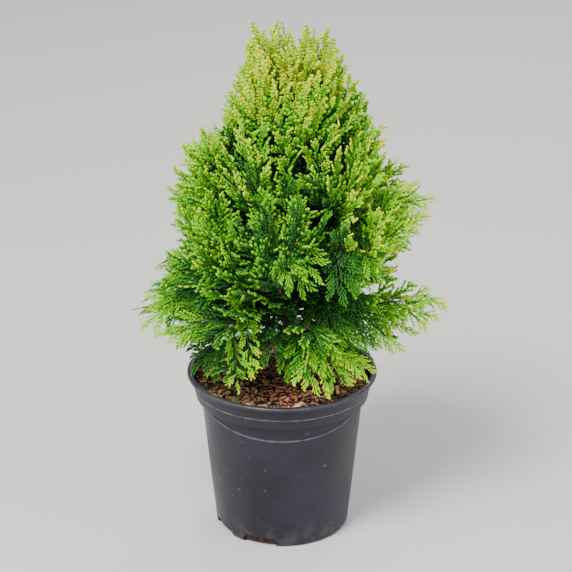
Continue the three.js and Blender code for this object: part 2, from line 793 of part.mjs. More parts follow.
/** The whole plant in its pot. */
function buildPlant() {
  const trunk = trunkCurve();
  const clearTrunk = buildTrunk(trunk, JOINT_GAP);
  const plans = planCrown(trunk);
  const branched = plans.filter((plan) => !plan.tier.limbless);
  const keptClear = wasm.Manifold.union([
    potKeepOut(),
    clearTrunk,
    ...branched.map((plan) => buildBough(plan, clearTrunk, JOINT_GAP)),
  ]);

  const plant = new THREE.Group();
  plant.add(named("pot", buildPot(), MATERIALS.pot));
  plant.add(named("soil", buildSoil(), MATERIALS.soil));
  plant.add(named("trunk", buildTrunk(trunk), MATERIALS.bark));
  for (const plan of branched) {
    plant.add(named(`bough_${plan.name}`, buildBough(plan, clearTrunk), MATERIALS.bark));
  }
  for (const plan of plans) {
    const mass = buildMass(plan, keptClear);
    plant.add(named(`foliage_${plan.name}`, mass, MATERIALS[plan.tier.leaf]));
  }
  return plant;
}

export default buildPlant();
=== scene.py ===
"""A young potted thuja in the studio: black pot, bark compost, fibrous limbs and scale foliage.

Lengths are in millimetres until a mesh is written, which puts them in metres. Azimuths are in
degrees: 0 is the plant's right (+X), 90 its back (+Y), 180 its left and 270 its front. Values that
come in fours are for the right, the back, the left and the front.
"""

import logging
from dataclasses import dataclass, field, replace
from enum import Enum
from functools import cache

import bpy
import numpy as np
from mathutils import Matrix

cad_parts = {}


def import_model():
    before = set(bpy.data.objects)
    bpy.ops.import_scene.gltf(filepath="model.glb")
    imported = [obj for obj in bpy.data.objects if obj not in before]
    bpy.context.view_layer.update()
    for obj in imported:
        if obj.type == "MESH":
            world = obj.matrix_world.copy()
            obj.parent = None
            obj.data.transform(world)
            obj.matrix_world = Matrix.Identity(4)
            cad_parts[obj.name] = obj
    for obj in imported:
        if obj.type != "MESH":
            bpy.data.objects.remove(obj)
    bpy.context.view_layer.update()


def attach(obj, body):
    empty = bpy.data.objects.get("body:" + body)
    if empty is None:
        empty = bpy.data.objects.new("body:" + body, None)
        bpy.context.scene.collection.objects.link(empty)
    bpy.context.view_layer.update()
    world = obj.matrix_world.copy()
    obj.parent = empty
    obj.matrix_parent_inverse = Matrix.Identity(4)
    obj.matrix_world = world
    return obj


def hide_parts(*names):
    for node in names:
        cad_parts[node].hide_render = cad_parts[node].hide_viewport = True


LOG = logging.getLogger("thuja")

MM = 0.001
SEED = 4.7
DRAW_STEPS = (12.9898, 65.2432)
DRAW_STRETCH = 43758.5453
GOLDEN_ANGLE = 137.5
UP = np.array([0.0, 0.0, 1.0])
LARGEST_PIECE = 190_000

Array = np.ndarray
Faces = list[np.ndarray]
Keys = tuple[float, ...]
Pair = tuple[float, float]
Looks = dict[str, object]
Colour = tuple[float, float, float]
Place = tuple[float, float, float]
Sides = tuple[float, float, float, float]
Material = bpy.types.Material
Node = bpy.types.Node
Piece = bpy.types.Object
Socket = bpy.types.NodeSocket
Tree = bpy.types.NodeTree


def draw(*keys: float) -> float:
    """A number from 0 to 1 that depends only on its keys: the fraction of a stretched sine."""
    first, more = DRAW_STEPS
    wave = np.sin(SEED + sum(key * (first + more * i) for i, key in enumerate(keys))) * DRAW_STRETCH
    return float(wave - np.floor(wave))


def jitter(size: float, *keys: float) -> float:
    """A number spread evenly round zero, up to size either way."""
    return (2 * draw(*keys) - 1) * size


def mix(low: float, high: float, share: float) -> float:
    """The value at a share of the way from low to high."""
    return low + (high - low) * share


def smooth_step(value: Array, low: float, high: float) -> Array:
    """0 below low, 1 above high and a smooth cubic between them."""
    share = np.clip((value - low) / (high - low), 0, 1)
    return share * share * (3 - 2 * share)


def unit(vectors: Array) -> Array:
    """Vectors divided by their lengths."""
    return vectors / np.linalg.norm(vectors, axis=-1, keepdims=True)


def heading(azimuth: float, slope: float = 0.0) -> Array:
    """A unit vector at an azimuth and a slope above level, both in degrees."""
    turn, rise = np.radians(azimuth), np.radians(slope)
    return np.array([np.cos(rise) * np.cos(turn), np.cos(rise) * np.sin(turn), np.sin(rise)])


def spot(azimuth: float, out: float, height: float) -> Array:
    """The point at an azimuth, a distance from the Z axis and a height."""
    place = heading(azimuth) * out
    place[2] = height
    return place


def azimuth_of(points: Array) -> Array:
    """The azimuths of points."""
    return np.degrees(np.arctan2(points[..., 1], points[..., 0]))


def turned_about(vector: Array, axis: Array, angle: float) -> Array:
    """A vector turned about a unit axis by an angle in radians: its part along the axis stays."""
    along = axis * np.dot(axis, vector)
    return vector * np.cos(angle) + np.cross(axis, vector) * np.sin(angle) + along * (1 - np.cos(angle))


def facing(ahead: Array, outward: Array, roll: float) -> Array:
    """The unit vector across ahead that is nearest to outward, turned about ahead by roll radians."""
    face = outward - ahead * np.dot(outward, ahead)
    return turned_about(unit(face), ahead, roll)


def pairs(first: Array, second: Array | float) -> Array:
    """Rows of two values, such as the radii and the heights of a profile."""
    return np.stack(np.broadcast_arrays(first, second), axis=1)


def ripples(points: Array, wavelength: float, seed: int, count: int = 14) -> Array:
    """Smooth relief of height about -1 to 1: a sum of plane waves with drawn directions and phases.

    Args:
        points: an array of points in its last axis.
        wavelength: the middle length of the waves.
        seed: the number that the waves are drawn from.
        count: how many waves are added.

    Returns:
        The relief at each point.
    """
    source = np.random.default_rng(seed)
    shortest, longest = 0.6, 1.7
    waves = unit(source.normal(size=(count, points.shape[-1])))
    waves *= 2 * np.pi / (wavelength * source.uniform(shortest, longest, size=(count, 1)))
    phases = source.uniform(0, 2 * np.pi, count)
    return np.sin(points @ waves.T + phases).sum(-1) / np.sqrt(count)


def add_object(name: str, data: bpy.types.ID) -> Piece:
    """Adds an object to the scene."""
    made = bpy.data.objects.new(name, data)
    bpy.context.scene.collection.objects.link(made)
    return made


def plain_object(name: str, points: Array, faces: list[list[int]]) -> Piece:
    """Adds a mesh object from points in millimetres and the corners of each face."""
    mesh = bpy.data.meshes.new(name)
    mesh.from_pydata((points * MM).tolist(), [], faces)
    return add_object(name, mesh)


def write_piece(
    name: str, points: Array, faces: Faces, material: Material, smooth: bool = True
) -> Piece:
    """Makes a mesh object that rides on the part's one body.

    Args:
        name: the piece's name.
        points: the corners, in millimetres.
        faces: one array of corner numbers for each count of corners a face has.
        material: the piece's material.
        smooth: whether the faces are shaded as one smooth surface.

    Returns:
        The object.
    """
    mesh = bpy.data.meshes.new(name)
    corners = np.concatenate([part.ravel() for part in faces]).astype(np.int32)
    sizes = np.concatenate([np.full(len(part), part.shape[1]) for part in faces])
    starts = np.concatenate([[0], np.cumsum(sizes)[:-1]]).astype(np.int32)
    mesh.vertices.add(len(points))
    mesh.vertices.foreach_set("co", (points * MM).astype(np.float32).ravel())
    mesh.loops.add(len(corners))
    mesh.loops.foreach_set("vertex_index", corners)
    mesh.polygons.add(len(starts))
    mesh.polygons.foreach_set("loop_start", starts)
    mesh.polygons.foreach_set("use_smooth", np.full(len(starts), smooth))
    mesh.update(calc_edges=True)
    mesh.materials.append(material)
    piece = add_object(name, mesh)
    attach(piece, "root")
    LOG.info("%s: %d faces", name, len(starts))
    return piece


def add_map(piece: Piece, around: Array, along: Array) -> None:
    """Gives a piece a UV map from two values for each of its points."""
    mesh = piece.data
    layer = mesh.uv_layers.new(name="surface")
    corner = np.empty(len(mesh.loops), np.int32)
    mesh.loops.foreach_get("vertex_index", corner)
    values = np.stack([around[corner], along[corner]], axis=1).astype(np.float32)
    layer.data.foreach_set("uv", values.ravel())


def add_mask(piece: Piece, name: str, values: Array) -> None:
    """Gives a piece a named number at each of its points."""
    layer = piece.data.attributes.new(name=name, type="FLOAT", domain="POINT")
    layer.data.foreach_set("value", values.astype(np.float32))


def copies(solids: Array, faces: Array) -> tuple[Array, Faces]:
    """The points and faces of many small solids that all have the same faces.

    Args:
        solids: the corners, as solids by corners by 3.
        faces: the faces of one solid.

    Returns:
        The points and faces of them all.
    """
    first = np.arange(len(solids)) * solids.shape[1]
    return solids.reshape(-1, 3), [(first[:, None, None] + faces).reshape(-1, faces.shape[1])]


def per_ring(values: Array, columns: int) -> Array:
    """A value for each point of a tube, from one for each ring. The poles take the end rings'."""
    return np.concatenate([np.repeat(values, columns), values[[0, -1]]])


def closed_faces(rows: int, columns: int) -> Faces:
    """The faces of a grid of rows by columns that closes round its columns, with a pole at each end.

    Args:
        rows: how many rings of points there are.
        columns: how many points a ring has.

    Returns:
        The quads between the rings and the triangles to the two poles, whose points follow the grid.
    """
    row, column = np.meshgrid(np.arange(rows - 1), np.arange(columns), indexing="ij")
    here = row * columns + column
    after = row * columns + (column + 1) % columns
    quads = np.stack([here, after, after + columns, here + columns], axis=-1).reshape(-1, 4)
    ring = np.arange(columns)
    beside = (ring + 1) % columns
    last = (rows - 1) * columns
    pole = np.full(columns, rows * columns)
    first = np.stack([pole, beside, ring], axis=1)
    end = np.stack([pole + 1, last + ring, last + beside], axis=1)
    return [quads, np.concatenate([first, end])]


def lathe(profile: Array, columns: int) -> tuple[Array, Faces]:
    """A profile of (radius, height) turned round the Z axis, from one point on the axis to another.

    Args:
        profile: the profile's points, of which the first and last lie on the axis, rising outside.
        columns: how many points each ring has.

    Returns:
        The points and faces of the closed surface.
    """
    angle = np.linspace(0, 2 * np.pi, columns, endpoint=False)
    radius, height = profile[1:-1, 0:1], profile[1:-1, 1:2]
    level = np.broadcast_to(height, (len(radius), columns))
    ring = np.stack([radius * np.cos(angle), radius * np.sin(angle), level], axis=-1)
    poles = np.array([[0, 0, profile[0, 1]], [0, 0, profile[-1, 1]]])
    return np.concatenate([ring.reshape(-1, 3), poles]), closed_faces(len(radius), columns)


@dataclass(frozen=True)
class Swell:
    """A round swelling, with a bell curve as its section."""

    height: float
    width: float

    def at(self, away: Array) -> Array:
        """Its height at distances from its middle: e to the minus square of distance over width."""
        return self.height * np.exp(-((away / self.width) ** 2))


@dataclass(frozen=True)
class Line:
    """A smooth line in space: a cubic with four control points, of which it meets the end ones."""

    controls: Array

    @classmethod
    def between(cls, start: Array, out: Array, end: Array, arrive: Array) -> "Line":
        """The line that leaves start along out and reaches end along arrive, both unit vectors."""
        pull = np.linalg.norm(end - start) / 3
        return cls(np.array([start, start + out * pull, end - arrive * pull, end]))

    def at(self, shares: Array | float) -> Array:
        """The points at shares of the line's parameter: the controls in cubic shares that add up to 1."""
        t = np.asarray(shares, float)[..., None]
        a, b, c, d = self.controls
        return a * (1 - t) ** 3 + 3 * b * t * (1 - t) ** 2 + 3 * c * t * t * (1 - t) + d * t**3

    def way(self, shares: Array | float) -> Array:
        """The unit tangents at shares of the line's parameter."""
        t = np.asarray(shares, float)[..., None]
        a, b, c, d = self.controls
        return unit((b - a) * (1 - t) ** 2 + 2 * (c - b) * t * (1 - t) + (d - c) * t * t)

    def length(self) -> float:
        """The line's length, from 200 straight steps."""
        points = self.at(np.linspace(0, 1, 201))
        return float(np.linalg.norm(np.diff(points, axis=0), axis=1).sum())


def tube(
    points: Array, ways: Array, radii: Array, across: Array, columns: int
) -> tuple[Array, Faces, Array]:
    """A closed tube: rings of points about a line, each with its own radius at each point.

    Args:
        points: the line's points.
        ways: the line's unit tangents.
        radii: a radius for each ring, or for each point of each ring.
        across: a direction that the line never runs along, where the rings start.
        columns: how many points a ring has.

    Returns:
        The points, the faces, and the angle of each point round the tube as a share of a turn.
    """
    first = unit(across - ways * (ways @ across)[:, None])
    second = np.cross(ways, first)
    share = np.arange(columns) / columns
    angle = 2 * np.pi * share
    radii = np.broadcast_to(radii if radii.ndim == 2 else radii[:, None], (len(points), columns))
    rim = first[:, None] * np.cos(angle)[:, None] + second[:, None] * np.sin(angle)[:, None]
    ring = points[:, None] + rim * radii[..., None]
    body = np.concatenate([ring.reshape(-1, 3), points[[0, -1]]])
    around = np.concatenate([np.tile(share, len(points)), [0, 0]])
    return body, closed_faces(len(points), columns), around


class Gathered:
    """Meshes joined as they come, to make one piece of many."""

    def __init__(self) -> None:
        """Starts with nothing."""
        self.points: list[Array] = []
        self.faces: dict[int, list[Array]] = {}
        self.map: list[Array] = []
        self.total = 0

    def add(self, points: Array, faces: Faces, *surface: Array) -> None:
        """Adds a mesh, with the two values of its UV map at each point if it has one."""
        for part in faces:
            self.faces.setdefault(part.shape[1], []).append(part + self.total)
        self.points.append(points)
        self.total += len(points)
        if surface:
            self.map.append(np.stack(surface))

    def write(self, name: str, slot: str, material: Material) -> Piece:
        """Writes what has come as one piece."""
        faces = [np.concatenate(parts) for parts in self.faces.values()]
        piece = write_piece(name, np.concatenate(self.points), faces, material)
        if self.map:
            add_map(piece, *np.concatenate(self.map, axis=1))
        return piece


class Board:
    """A node tree that is filled node by node."""

    MIX_FIRST, MIX_SECOND, MIX_RESULT = 6, 7, 2

    def __init__(self, tree: Tree) -> None:
        """Takes a node tree."""
        self.tree = tree

    def put(self, socket: Socket, value: object) -> None:
        """Links a socket to an output, or sets it to a plain value."""
        if isinstance(value, Socket):
            self.tree.links.new(value, socket)
        else:
            socket.default_value = (*value[:3], 1) if socket.type == "RGBA" else value

    def node(self, kind: str, *values: object, settings: dict | None = None, **inputs: object) -> Node:
        """Adds a node.

        Args:
            kind: the node's type, without the word that all shader nodes share.
            values: values or outputs for its first inputs, in their order.
            settings: its own settings.
            inputs: values or outputs for other inputs, named with _ for a space.

        Returns:
            The node.
        """
        made = self.tree.nodes.new(kind if kind.startswith("NodeGroup") else f"ShaderNode{kind}")
        for key, value in (settings or {}).items():
            setattr(made, key, value)
        for socket, value in zip(made.inputs, values):
            self.put(socket, value)
        for key, value in inputs.items():
            self.put(made.inputs[key.replace("_", " ")], value)
        return made

    def math(self, operation: str, *values: object) -> Socket:
        """A sum on numbers or outputs."""
        return self.node("Math", *values, settings={"operation": operation}).outputs[0]

    def plus(self, first: object, second: object) -> Socket:
        """Two values added."""
        return self.math("ADD", first, second)

    def times(self, first: object, second: object) -> Socket:
        """One value times another."""
        return self.math("MULTIPLY", first, second)

    def blend(self, share: object, first: object, second: object) -> Socket:
        """A colour between two colours."""
        made = self.node("Mix", settings={"data_type": "RGBA"}, Factor=share)
        self.put(made.inputs[self.MIX_FIRST], first)
        self.put(made.inputs[self.MIX_SECOND], second)
        return made.outputs[self.MIX_RESULT]

    def span(self, share: Socket, low: float, high: float, start: float = 0, end: float = 1) -> Socket:
        """A share from start to end, carried to the range from low to high and held at its ends."""
        return self.node("MapRange", share, start, end, low, high).outputs[0]

    def place(self) -> Socket:
        """The object's own coordinates."""
        return self.node("TexCoord").outputs["Object"]

    def noise(self, place: Socket, scale: object, detail: object) -> Socket:
        """The level of soft noise at a place."""
        return self.node("TexNoise", Vector=place, Scale=scale, Detail=detail).outputs["Fac"]

    def number(self, name: str) -> Socket:
        """A named number that the piece has at each point."""
        return self.node("Attribute", settings={"attribute_name": name}).outputs["Fac"]

    def mask(self, tree: Tree, *values: float) -> Socket:
        """The mask of a shared group that is given its own values."""
        return self.node("Group", *values, settings={"node_tree": tree}).outputs[0]

    def bump(self, strength: float, distance: float, height: Socket) -> Socket:
        """The normals of a relief."""
        return self.node("Bump", Strength=strength, Distance=distance, Height=height).outputs[0]


def start_group(name: str, **inputs: float) -> tuple[Board, list[Socket]]:
    """Starts a shared shader effect, a node group that puts out one mask.

    Args:
        name: the group's name.
        inputs: its number inputs with their usual values.

    Returns:
        The group's board and its inputs' sockets.
    """
    tree = bpy.data.node_groups.new(name, "ShaderNodeTree")
    for key, value in inputs.items():
        socket = tree.interface.new_socket(key, in_out="INPUT", socket_type="NodeSocketFloat")
        socket.default_value = value
    tree.interface.new_socket("Mask", in_out="OUTPUT", socket_type="NodeSocketFloat")
    board = Board(tree)
    entry = board.node("NodeGroupInput")
    return board, [entry.outputs[key] for key in inputs]


def end_group(board: Board, mask: Socket) -> Tree:
    """Puts a group's mask out and gives its tree."""
    board.node("NodeGroupOutput", Mask=mask)
    return board.tree


@cache
def patches() -> Tree:
    """Soft patches: noise on the object's own coordinates, cut between two levels."""
    board, (scale, detail, low, high) = start_group("patches", Scale=20, Detail=3, Low=0.45, High=0.6)
    noise = board.noise(board.place(), scale, detail)
    smooth = {"interpolation_type": "SMOOTHSTEP"}
    return end_group(board, board.node("MapRange", noise, low, high, settings=smooth).outputs[0])


@cache
def hairlines() -> Tree:
    """Thin stray lines: where noise is within a width of its middle level, kept in patches."""
    board, (scale, width, amount) = start_group("hairlines", Scale=30, Width=0.012, Amount=0.5)
    place = board.place()
    level = board.math("SUBTRACT", board.noise(place, scale, 2.0), 0.5)
    line = board.math("LESS_THAN", board.math("ABSOLUTE", level), width)
    patch = board.noise(place, board.times(scale, 1.7), 2.0)
    return end_group(board, board.times(line, board.math("LESS_THAN", patch, board.times(amount, 0.8))))


@cache
def specks() -> Tree:
    """Small scattered dots: the near middle of some cells of a cell pattern."""
    board, (scale, size, share) = start_group("specks", Scale=150, Size=0.16, Share=0.2)
    cells = board.node("TexVoronoi", Vector=board.place(), Scale=scale)
    near = board.math("LESS_THAN", cells.outputs["Distance"], size)
    tone = board.node("SeparateColor", Color=cells.outputs["Color"])
    return end_group(board, board.times(near, board.math("LESS_THAN", tone.outputs[0], share)))


class Finish:
    """A material with a Principled surface, whose looks each kind of finish gives."""

    name: str

    def looks(self, board: Board) -> Looks:
        """The values and outputs for the surface's sockets, by their names."""
        raise NotImplementedError

    def make(self) -> Material:
        """Makes the material."""
        material = bpy.data.materials.new(self.name)
        material.use_nodes = True
        board = Board(material.node_tree)
        surface = material.node_tree.nodes["Principled BSDF"]
        for socket, value in self.looks(board).items():
            board.put(surface.inputs[socket], value)
        return material


@dataclass(frozen=True)
class PlainFinish(Finish):
    """One plain colour."""

    name: str
    colour: Colour
    roughness: float

    def looks(self, board: Board) -> Looks:
        """The colour and the roughness as they are."""
        return {"Base Color": self.colour, "Roughness": self.roughness}


@dataclass(frozen=True)
class PlasticFinish(Finish):
    """Satin black moulded plastic with dust, pale hairline scratches, specks of dirt and painted
    highlights.
    """

    name: str = "pot_plastic"
    clean: Colour = (0.008, 0.0074, 0.016)
    dusty: Colour = (0.021, 0.0195, 0.038)
    # The worn colour is used for scratches and scuffs, and also for the painted highlights on the crease
    # and the lip.
    worn: Colour = (0.34, 0.33, 0.35)
    soil: Colour = (0.075, 0.066, 0.066)
    soil_cover: float = 0.55
    fleck: Colour = (0.62, 0.12, 0.12)
    fleck_place: Place = (0.024, -0.0695, 0.029)
    fleck_radius: float = 0.0016
    roughness: Pair = (0.36, 0.55)
    scratch_roughness: float = 0.7
    gloss: float = 0.42

    def looks(self, board: Board) -> Looks:
        """Dust, then dried soil, then wear and painted highlights, and the fleck. Soil, scuffs and painted
        highlights follow the piece's numbers.
        """
        dust = self.dust(board)
        scratch = self.scratches(board)
        pale = self.pale(board, scratch)
        grime = board.times(board.number("dirt"), board.mask(patches(), 60.0, 5.0, 0.46, 0.6))
        base = board.blend(dust, self.clean, self.dusty)
        base = board.blend(board.times(grime, self.soil_cover), base, self.soil)
        rough = board.span(dust, *self.roughness)
        return {
            "Base Color": self.flecked(board, board.blend(pale, base, self.worn)),
            "Roughness": board.math("MAXIMUM", rough, board.times(pale, self.scratch_roughness)),
            "Normal": self.relief(board, scratch),
            "Specular IOR Level": self.gloss,
        }

    def dust(self, board: Board) -> Socket:
        """How dusty the plastic is: broad patches with fine ones in them."""
        broad = board.mask(patches(), 16.0, 3.0, 0.4, 0.66)
        fine = board.mask(patches(), 95.0, 4.0, 0.42, 0.7)
        return board.plus(board.times(broad, 0.75), board.times(fine, 0.25))

    def scratches(self, board: Board) -> Socket:
        """Long and short hairline scratches."""
        long = board.mask(hairlines(), 24.0, 0.004, 0.42)
        short = board.mask(hairlines(), 70.0, 0.01, 0.36)
        return board.plus(board.times(long, 0.3), board.times(short, 0.28))

    def pale(self, board: Board, scratch: Socket) -> Socket:
        """How pale the plastic is: scratches, specks, and scuffs with painted highlights on the crease and
        the lip, broken up by patches.
        """
        speck = board.mask(specks(), 120.0, 0.085, 0.1)
        broken = board.mask(patches(), 130.0, 3.0, 0.3, 0.62)
        scuff_and_highlight = board.times(board.number("scuff_and_highlight"), board.span(broken, 0.2, 0.6))
        marks = board.plus(scratch, board.times(speck, 0.55))
        return board.math("MINIMUM", board.plus(marks, scuff_and_highlight), 1.0)

    def flecked(self, board: Board, base: Socket) -> Socket:
        """A colour with the one small red fleck on it."""
        distance = {"operation": "DISTANCE"}
        away = board.node("VectorMath", board.place(), self.fleck_place, settings=distance)
        near = board.math("LESS_THAN", away.outputs["Value"], self.fleck_radius)
        return board.blend(near, base, self.fleck)

    def relief(self, board: Board, scratch: Socket) -> Socket:
        """A fine moulded grain over a slow swell, with the scratches cut in."""
        grain = board.times(board.noise(board.place(), 900.0, 2.0), 0.05)
        height = board.plus(grain, board.times(board.noise(board.place(), 28.0, 1.0), 1.2))
        return board.bump(0.35, 0.001, board.math("SUBTRACT", height, board.times(scratch, 0.15)))


@dataclass(frozen=True)
class BarkFinish(Finish):
    """Thin fibrous bark in strips that follow the limb, by the piece's own map."""

    name: str
    furrow: Colour
    strip: Colour
    ridge: Colour
    fibres: float = 9.0
    stretch: float = 0.05
    roughness: Pair = (0.95, 0.78)

    def looks(self, board: Board) -> Looks:
        """Fibres drawn out along the limb, furrows darker and rougher, ridges worn pale in patches."""
        own_map = board.node("UVMap", settings={"uv_map": "surface"}).outputs[0]
        drawn_out = board.node("Mapping", Vector=own_map, Scale=(self.fibres, self.stretch, 1.0))
        level = board.span(board.noise(drawn_out.outputs[0], 1.6, 5.0), 0, 1, 0.34, 0.66)
        worn = board.times(board.mask(patches(), 120.0, 2.0, 0.4, 0.65), board.times(level, 0.8))
        return {
            "Base Color": board.blend(worn, board.blend(level, self.furrow, self.strip), self.ridge),
            "Roughness": board.span(level, *self.roughness),
            "Normal": board.bump(0.8, 0.0008, level),
        }


@dataclass(frozen=True)
class CompostFinish(Finish):
    """Moist crumbly matter or bark fibre in two close browns."""

    name: str
    dark: Colour
    light: Colour
    scale: float = 220.0
    roughness: Pair = (0.9, 0.72)

    def looks(self, board: Board) -> Looks:
        """The light brown in soft patches, a little smoother, over a fine grain."""
        patch = board.mask(patches(), self.scale, 4.0, 0.38, 0.64)
        return {
            "Base Color": board.blend(patch, self.dark, self.light),
            "Roughness": board.span(patch, *self.roughness),
            "Normal": board.bump(0.6, 0.0006, board.noise(board.place(), 700.0, 3.0)),
        }


@dataclass(frozen=True)
class LeafFinish(Finish):
    """Satin scale leaves in one plain base colour, with a fine uneven gloss."""

    name: str
    colour: Colour
    roughness: float = 0.56
    gloss: float = 0.24

    def looks(self, board: Board) -> Looks:
        """The plain colour, with fine patches in the roughness and the relief."""
        uneven = board.mask(patches(), 400.0, 2.0, 0.35, 0.65)
        return {
            "Base Color": self.colour,
            "Roughness": board.span(uneven, self.roughness - 0.08, self.roughness + 0.12),
            "Specular IOR Level": self.gloss,
            "Normal": board.bump(0.2, 0.0004, uneven),
        }


class Tint(Enum):
    """The leaf colours, from the shaded inside of the crown to its gilded tips."""

    SHADE = LeafFinish("leaf_shade", (0.007, 0.038, 0.008), 0.6)
    DEEP = LeafFinish("leaf_deep", (0.014, 0.09, 0.011), 0.58)
    FERN = LeafFinish("leaf_fern", (0.028, 0.155, 0.022))
    LEAF = LeafFinish("leaf_green", (0.05, 0.25, 0.004))
    FRESH = LeafFinish("leaf_fresh", (0.14, 0.47, 0.004))
    LIME = LeafFinish("leaf_lime", (0.3, 0.72, 0.004))
    OLIVE = LeafFinish("leaf_olive", (0.41, 0.56, 0.003))
    YELLOW = LeafFinish("leaf_yellow", (0.58, 0.83, 0.005))
    GOLD = LeafFinish("leaf_gold", (0.74, 0.79, 0.006))
    BRONZE = LeafFinish("leaf_bronze", (0.76, 0.5, 0.012))


@dataclass(frozen=True)
class Tier:
    """One tier of boughs, spread evenly round the trunk from the azimuth turn.

    They leave it between the foot heights at the slope rise, with girth as their radius, and end at
    their side's tip height at the slope tip_rise. The middle of a bough's space is at the share
    middle, and spray is its last sprays' length. A limbless tier has no limb before its foliage.
    """

    name: str
    count: int
    turn: float
    foot: Pair
    tip: Sides
    girth: float
    rise: float
    tip_rise: float
    middle: float
    spray: float
    dense: bool
    limbless: bool = False


TIERS = (
    Tier("skirt", 5, 17, (184, 198), (204, 200, 212, 178), 2.5, 28, -34, 0.66, 52, False),
    Tier("lower", 6, 348, (206, 226), (250, 246, 238, 234), 3, 44, -12, 0.68, 54, False),
    Tier("middle", 6, 32, (232, 254), (346, 336, 334, 312), 2.8, 38, 48, 0.62, 48, True),
    Tier("shoulder", 5, 36, (284, 312), (404, 402, 412, 378), 2.5, 50, 74, 0.62, 46, True),
    Tier("upper", 4, 30, (344, 376), (482, 470, 472, 456), 2.1, 62, 80, 0.6, 42, True),
    Tier("leader", 4, 10, (448, 460), (520, 510, 524, 504), 2, 62, 86, 0.6, 30, True, True),
)


@dataclass
class Bough:
    """One bough's line, with where its own foliage starts and ends along it."""

    tier: Tier
    keys: tuple[int, int]
    azimuth: float
    line: Line
    middle: Array
    entry: float = 0.0
    stem_to: float = 1.0

    @property
    def across(self) -> Array:
        """The level direction across the bough."""
        return heading(self.azimuth + 90)

    def node(self, kind: str) -> str:
        """The name of the node of a kind, bough or foliage, that this bough stands for."""
        return f"{kind}_{self.tier.name}_{self.keys[1] + 1}"


@dataclass
class Crown:
    """The crown's outline and the lines of its trunk and boughs.

    The trunk's line passes the points of sway, which are spread evenly over its height. Each row of
    the outline has a height and how far the crown reaches there to the right, back, left and front.
    """

    soil_top: float = 158.0
    lift: float = 0.3
    tip_height: float = 492.0
    sway: tuple[Pair, ...] = ((6, 0), (6, 0), (9, -1), (11, 2), (10, 0))
    space_gap: float = 0.6
    azimuth_jitter: float = 6.0
    least_entry: float = 0.25
    least_stem: float = 0.1
    spray_overlap: float = 0.8
    outline: tuple[tuple[float, ...], ...] = (
        (178, 100, 82, 92, 96), (190, 122, 96, 104, 100), (206, 130, 106, 152, 104),
        (225, 152, 112, 147, 108), (250, 170, 118, 132, 112), (275, 122, 116, 124, 112),
        (300, 118, 114, 102, 110), (330, 138, 116, 110, 110), (350, 146, 115, 112, 106),
        (378, 118, 106, 104, 98), (402, 104, 94, 96, 86), (417, 101, 84, 80, 76),
        (440, 86, 70, 60, 64), (463, 74, 56, 50, 50), (488, 64, 50, 36, 46),
        (510, 50, 36, 32, 34), (526, 44, 28, 28, 26),
    )
    boughs: list[Bough] = field(default_factory=list)

    def __post_init__(self) -> None:
        """Plans every bough and the share of it that its foliage takes."""
        for number, tier in enumerate(TIERS):
            self.boughs += [self.plan(tier, number, i) for i in range(tier.count)]
        for bough in self.boughs:
            self.settle(bough)

    @property
    def foot(self) -> float:
        """The height of the trunk's foot."""
        return self.soil_top + self.lift

    def around(self, values: Array | Sides, azimuth: Array | float) -> Array:
        """Values for the four sides, blended at an azimuth by its squared cosine and sine."""
        values = np.asarray(values, float)
        c, s = np.cos(np.radians(azimuth)), np.sin(np.radians(azimuth))
        level = np.where(c > 0, values[..., 0], values[..., 2])
        deep = np.where(s > 0, values[..., 1], values[..., 3])
        return level * c * c + deep * s * s

    def reach(self, azimuth: Array | float, height: Array | float) -> Array:
        """How far the crown reaches at an azimuth and a height: straight between its rows."""
        heights, *sides = np.array(self.outline, float).T
        rows = np.stack([np.interp(height, heights, side) for side in sides], axis=-1)
        return self.around(rows, azimuth)

    def fullness(self, point: Array) -> float:
        """How far out a point lies, as a share of the crown's reach at its azimuth and height."""
        return float(np.hypot(point[0], point[1]) / self.reach(azimuth_of(point), point[2]))

    def trunk_at(self, share: Array | float) -> Array:
        """Points of the trunk's line at shares of its height: cubics through its swaying points.

        Each cubic runs from b to c, and at each of them its slope is half the way between the
        points on either side. The two end points have one more drawn past them in a straight line.
        """
        share = np.asarray(share, float)
        bend = np.array(self.sway)
        spans = len(bend) - 1
        k = np.clip((share * spans).astype(int), 0, spans - 1)
        rows = np.concatenate([[2 * bend[0] - bend[1]], bend, [2 * bend[-1] - bend[-2]]])
        u = (share * spans - k)[..., None]
        a, b, c, d = rows[k], rows[k + 1], rows[k + 2], rows[k + 3]
        square, cube = 2 * a - 5 * b + 4 * c - d, 3 * b - a - 3 * c + d
        side = 0.5 * (2 * b + (c - a) * u + square * u**2 + cube * u**3)
        height = self.foot + (self.tip_height - self.foot) * share
        return np.concatenate([side, height[..., None]], axis=-1)

    def plan(self, tier: Tier, number: int, i: int) -> Bough:
        """Bough i of a tier: a smooth line from the trunk's line to the crown's outline.

        Args:
            tier: the bough's tier.
            number: the tier's number.
            i: the bough's number.

        Returns:
            The bough.
        """
        azimuth = tier.turn + 360 * i / tier.count + jitter(self.azimuth_jitter, number, i, 1)
        height = mix(*tier.foot, ((i * 3) % tier.count) / tier.count)
        start = self.trunk_at((height - self.foot) / (self.tip_height - self.foot))
        tip_height = float(self.around(tier.tip, azimuth))
        end = spot(azimuth, self.reach(azimuth, tip_height), tip_height)
        line = Line.between(start, heading(azimuth, tier.rise), end, heading(azimuth, tier.tip_rise))
        return Bough(tier, (number, i), azimuth, line, line.at(tier.middle))

    def settle(self, bough: Bough) -> None:
        """Finds where a bough enters and leaves its own space, which ends halfway to each other one."""
        others = np.array([other.middle for other in self.boughs if other is not bough])
        normals = unit(others - bough.middle)
        halfway = (others + bough.middle) / 2
        shares = np.linspace(0, 1, 81)
        points = bough.line.at(shares)
        depth = points @ normals.T - (normals * halfway).sum(1) + self.space_gap / 2
        within = shares[(depth < -(bough.tier.girth * (1 - shares))[:, None]).all(axis=1)]
        bough.entry = 0.0 if bough.tier.limbless else max(within[0], self.least_entry)
        stem_to = within[-1] - self.spray_overlap * bough.tier.spray / bough.line.length()
        bough.stem_to = max(stem_to, bough.entry + self.least_stem)


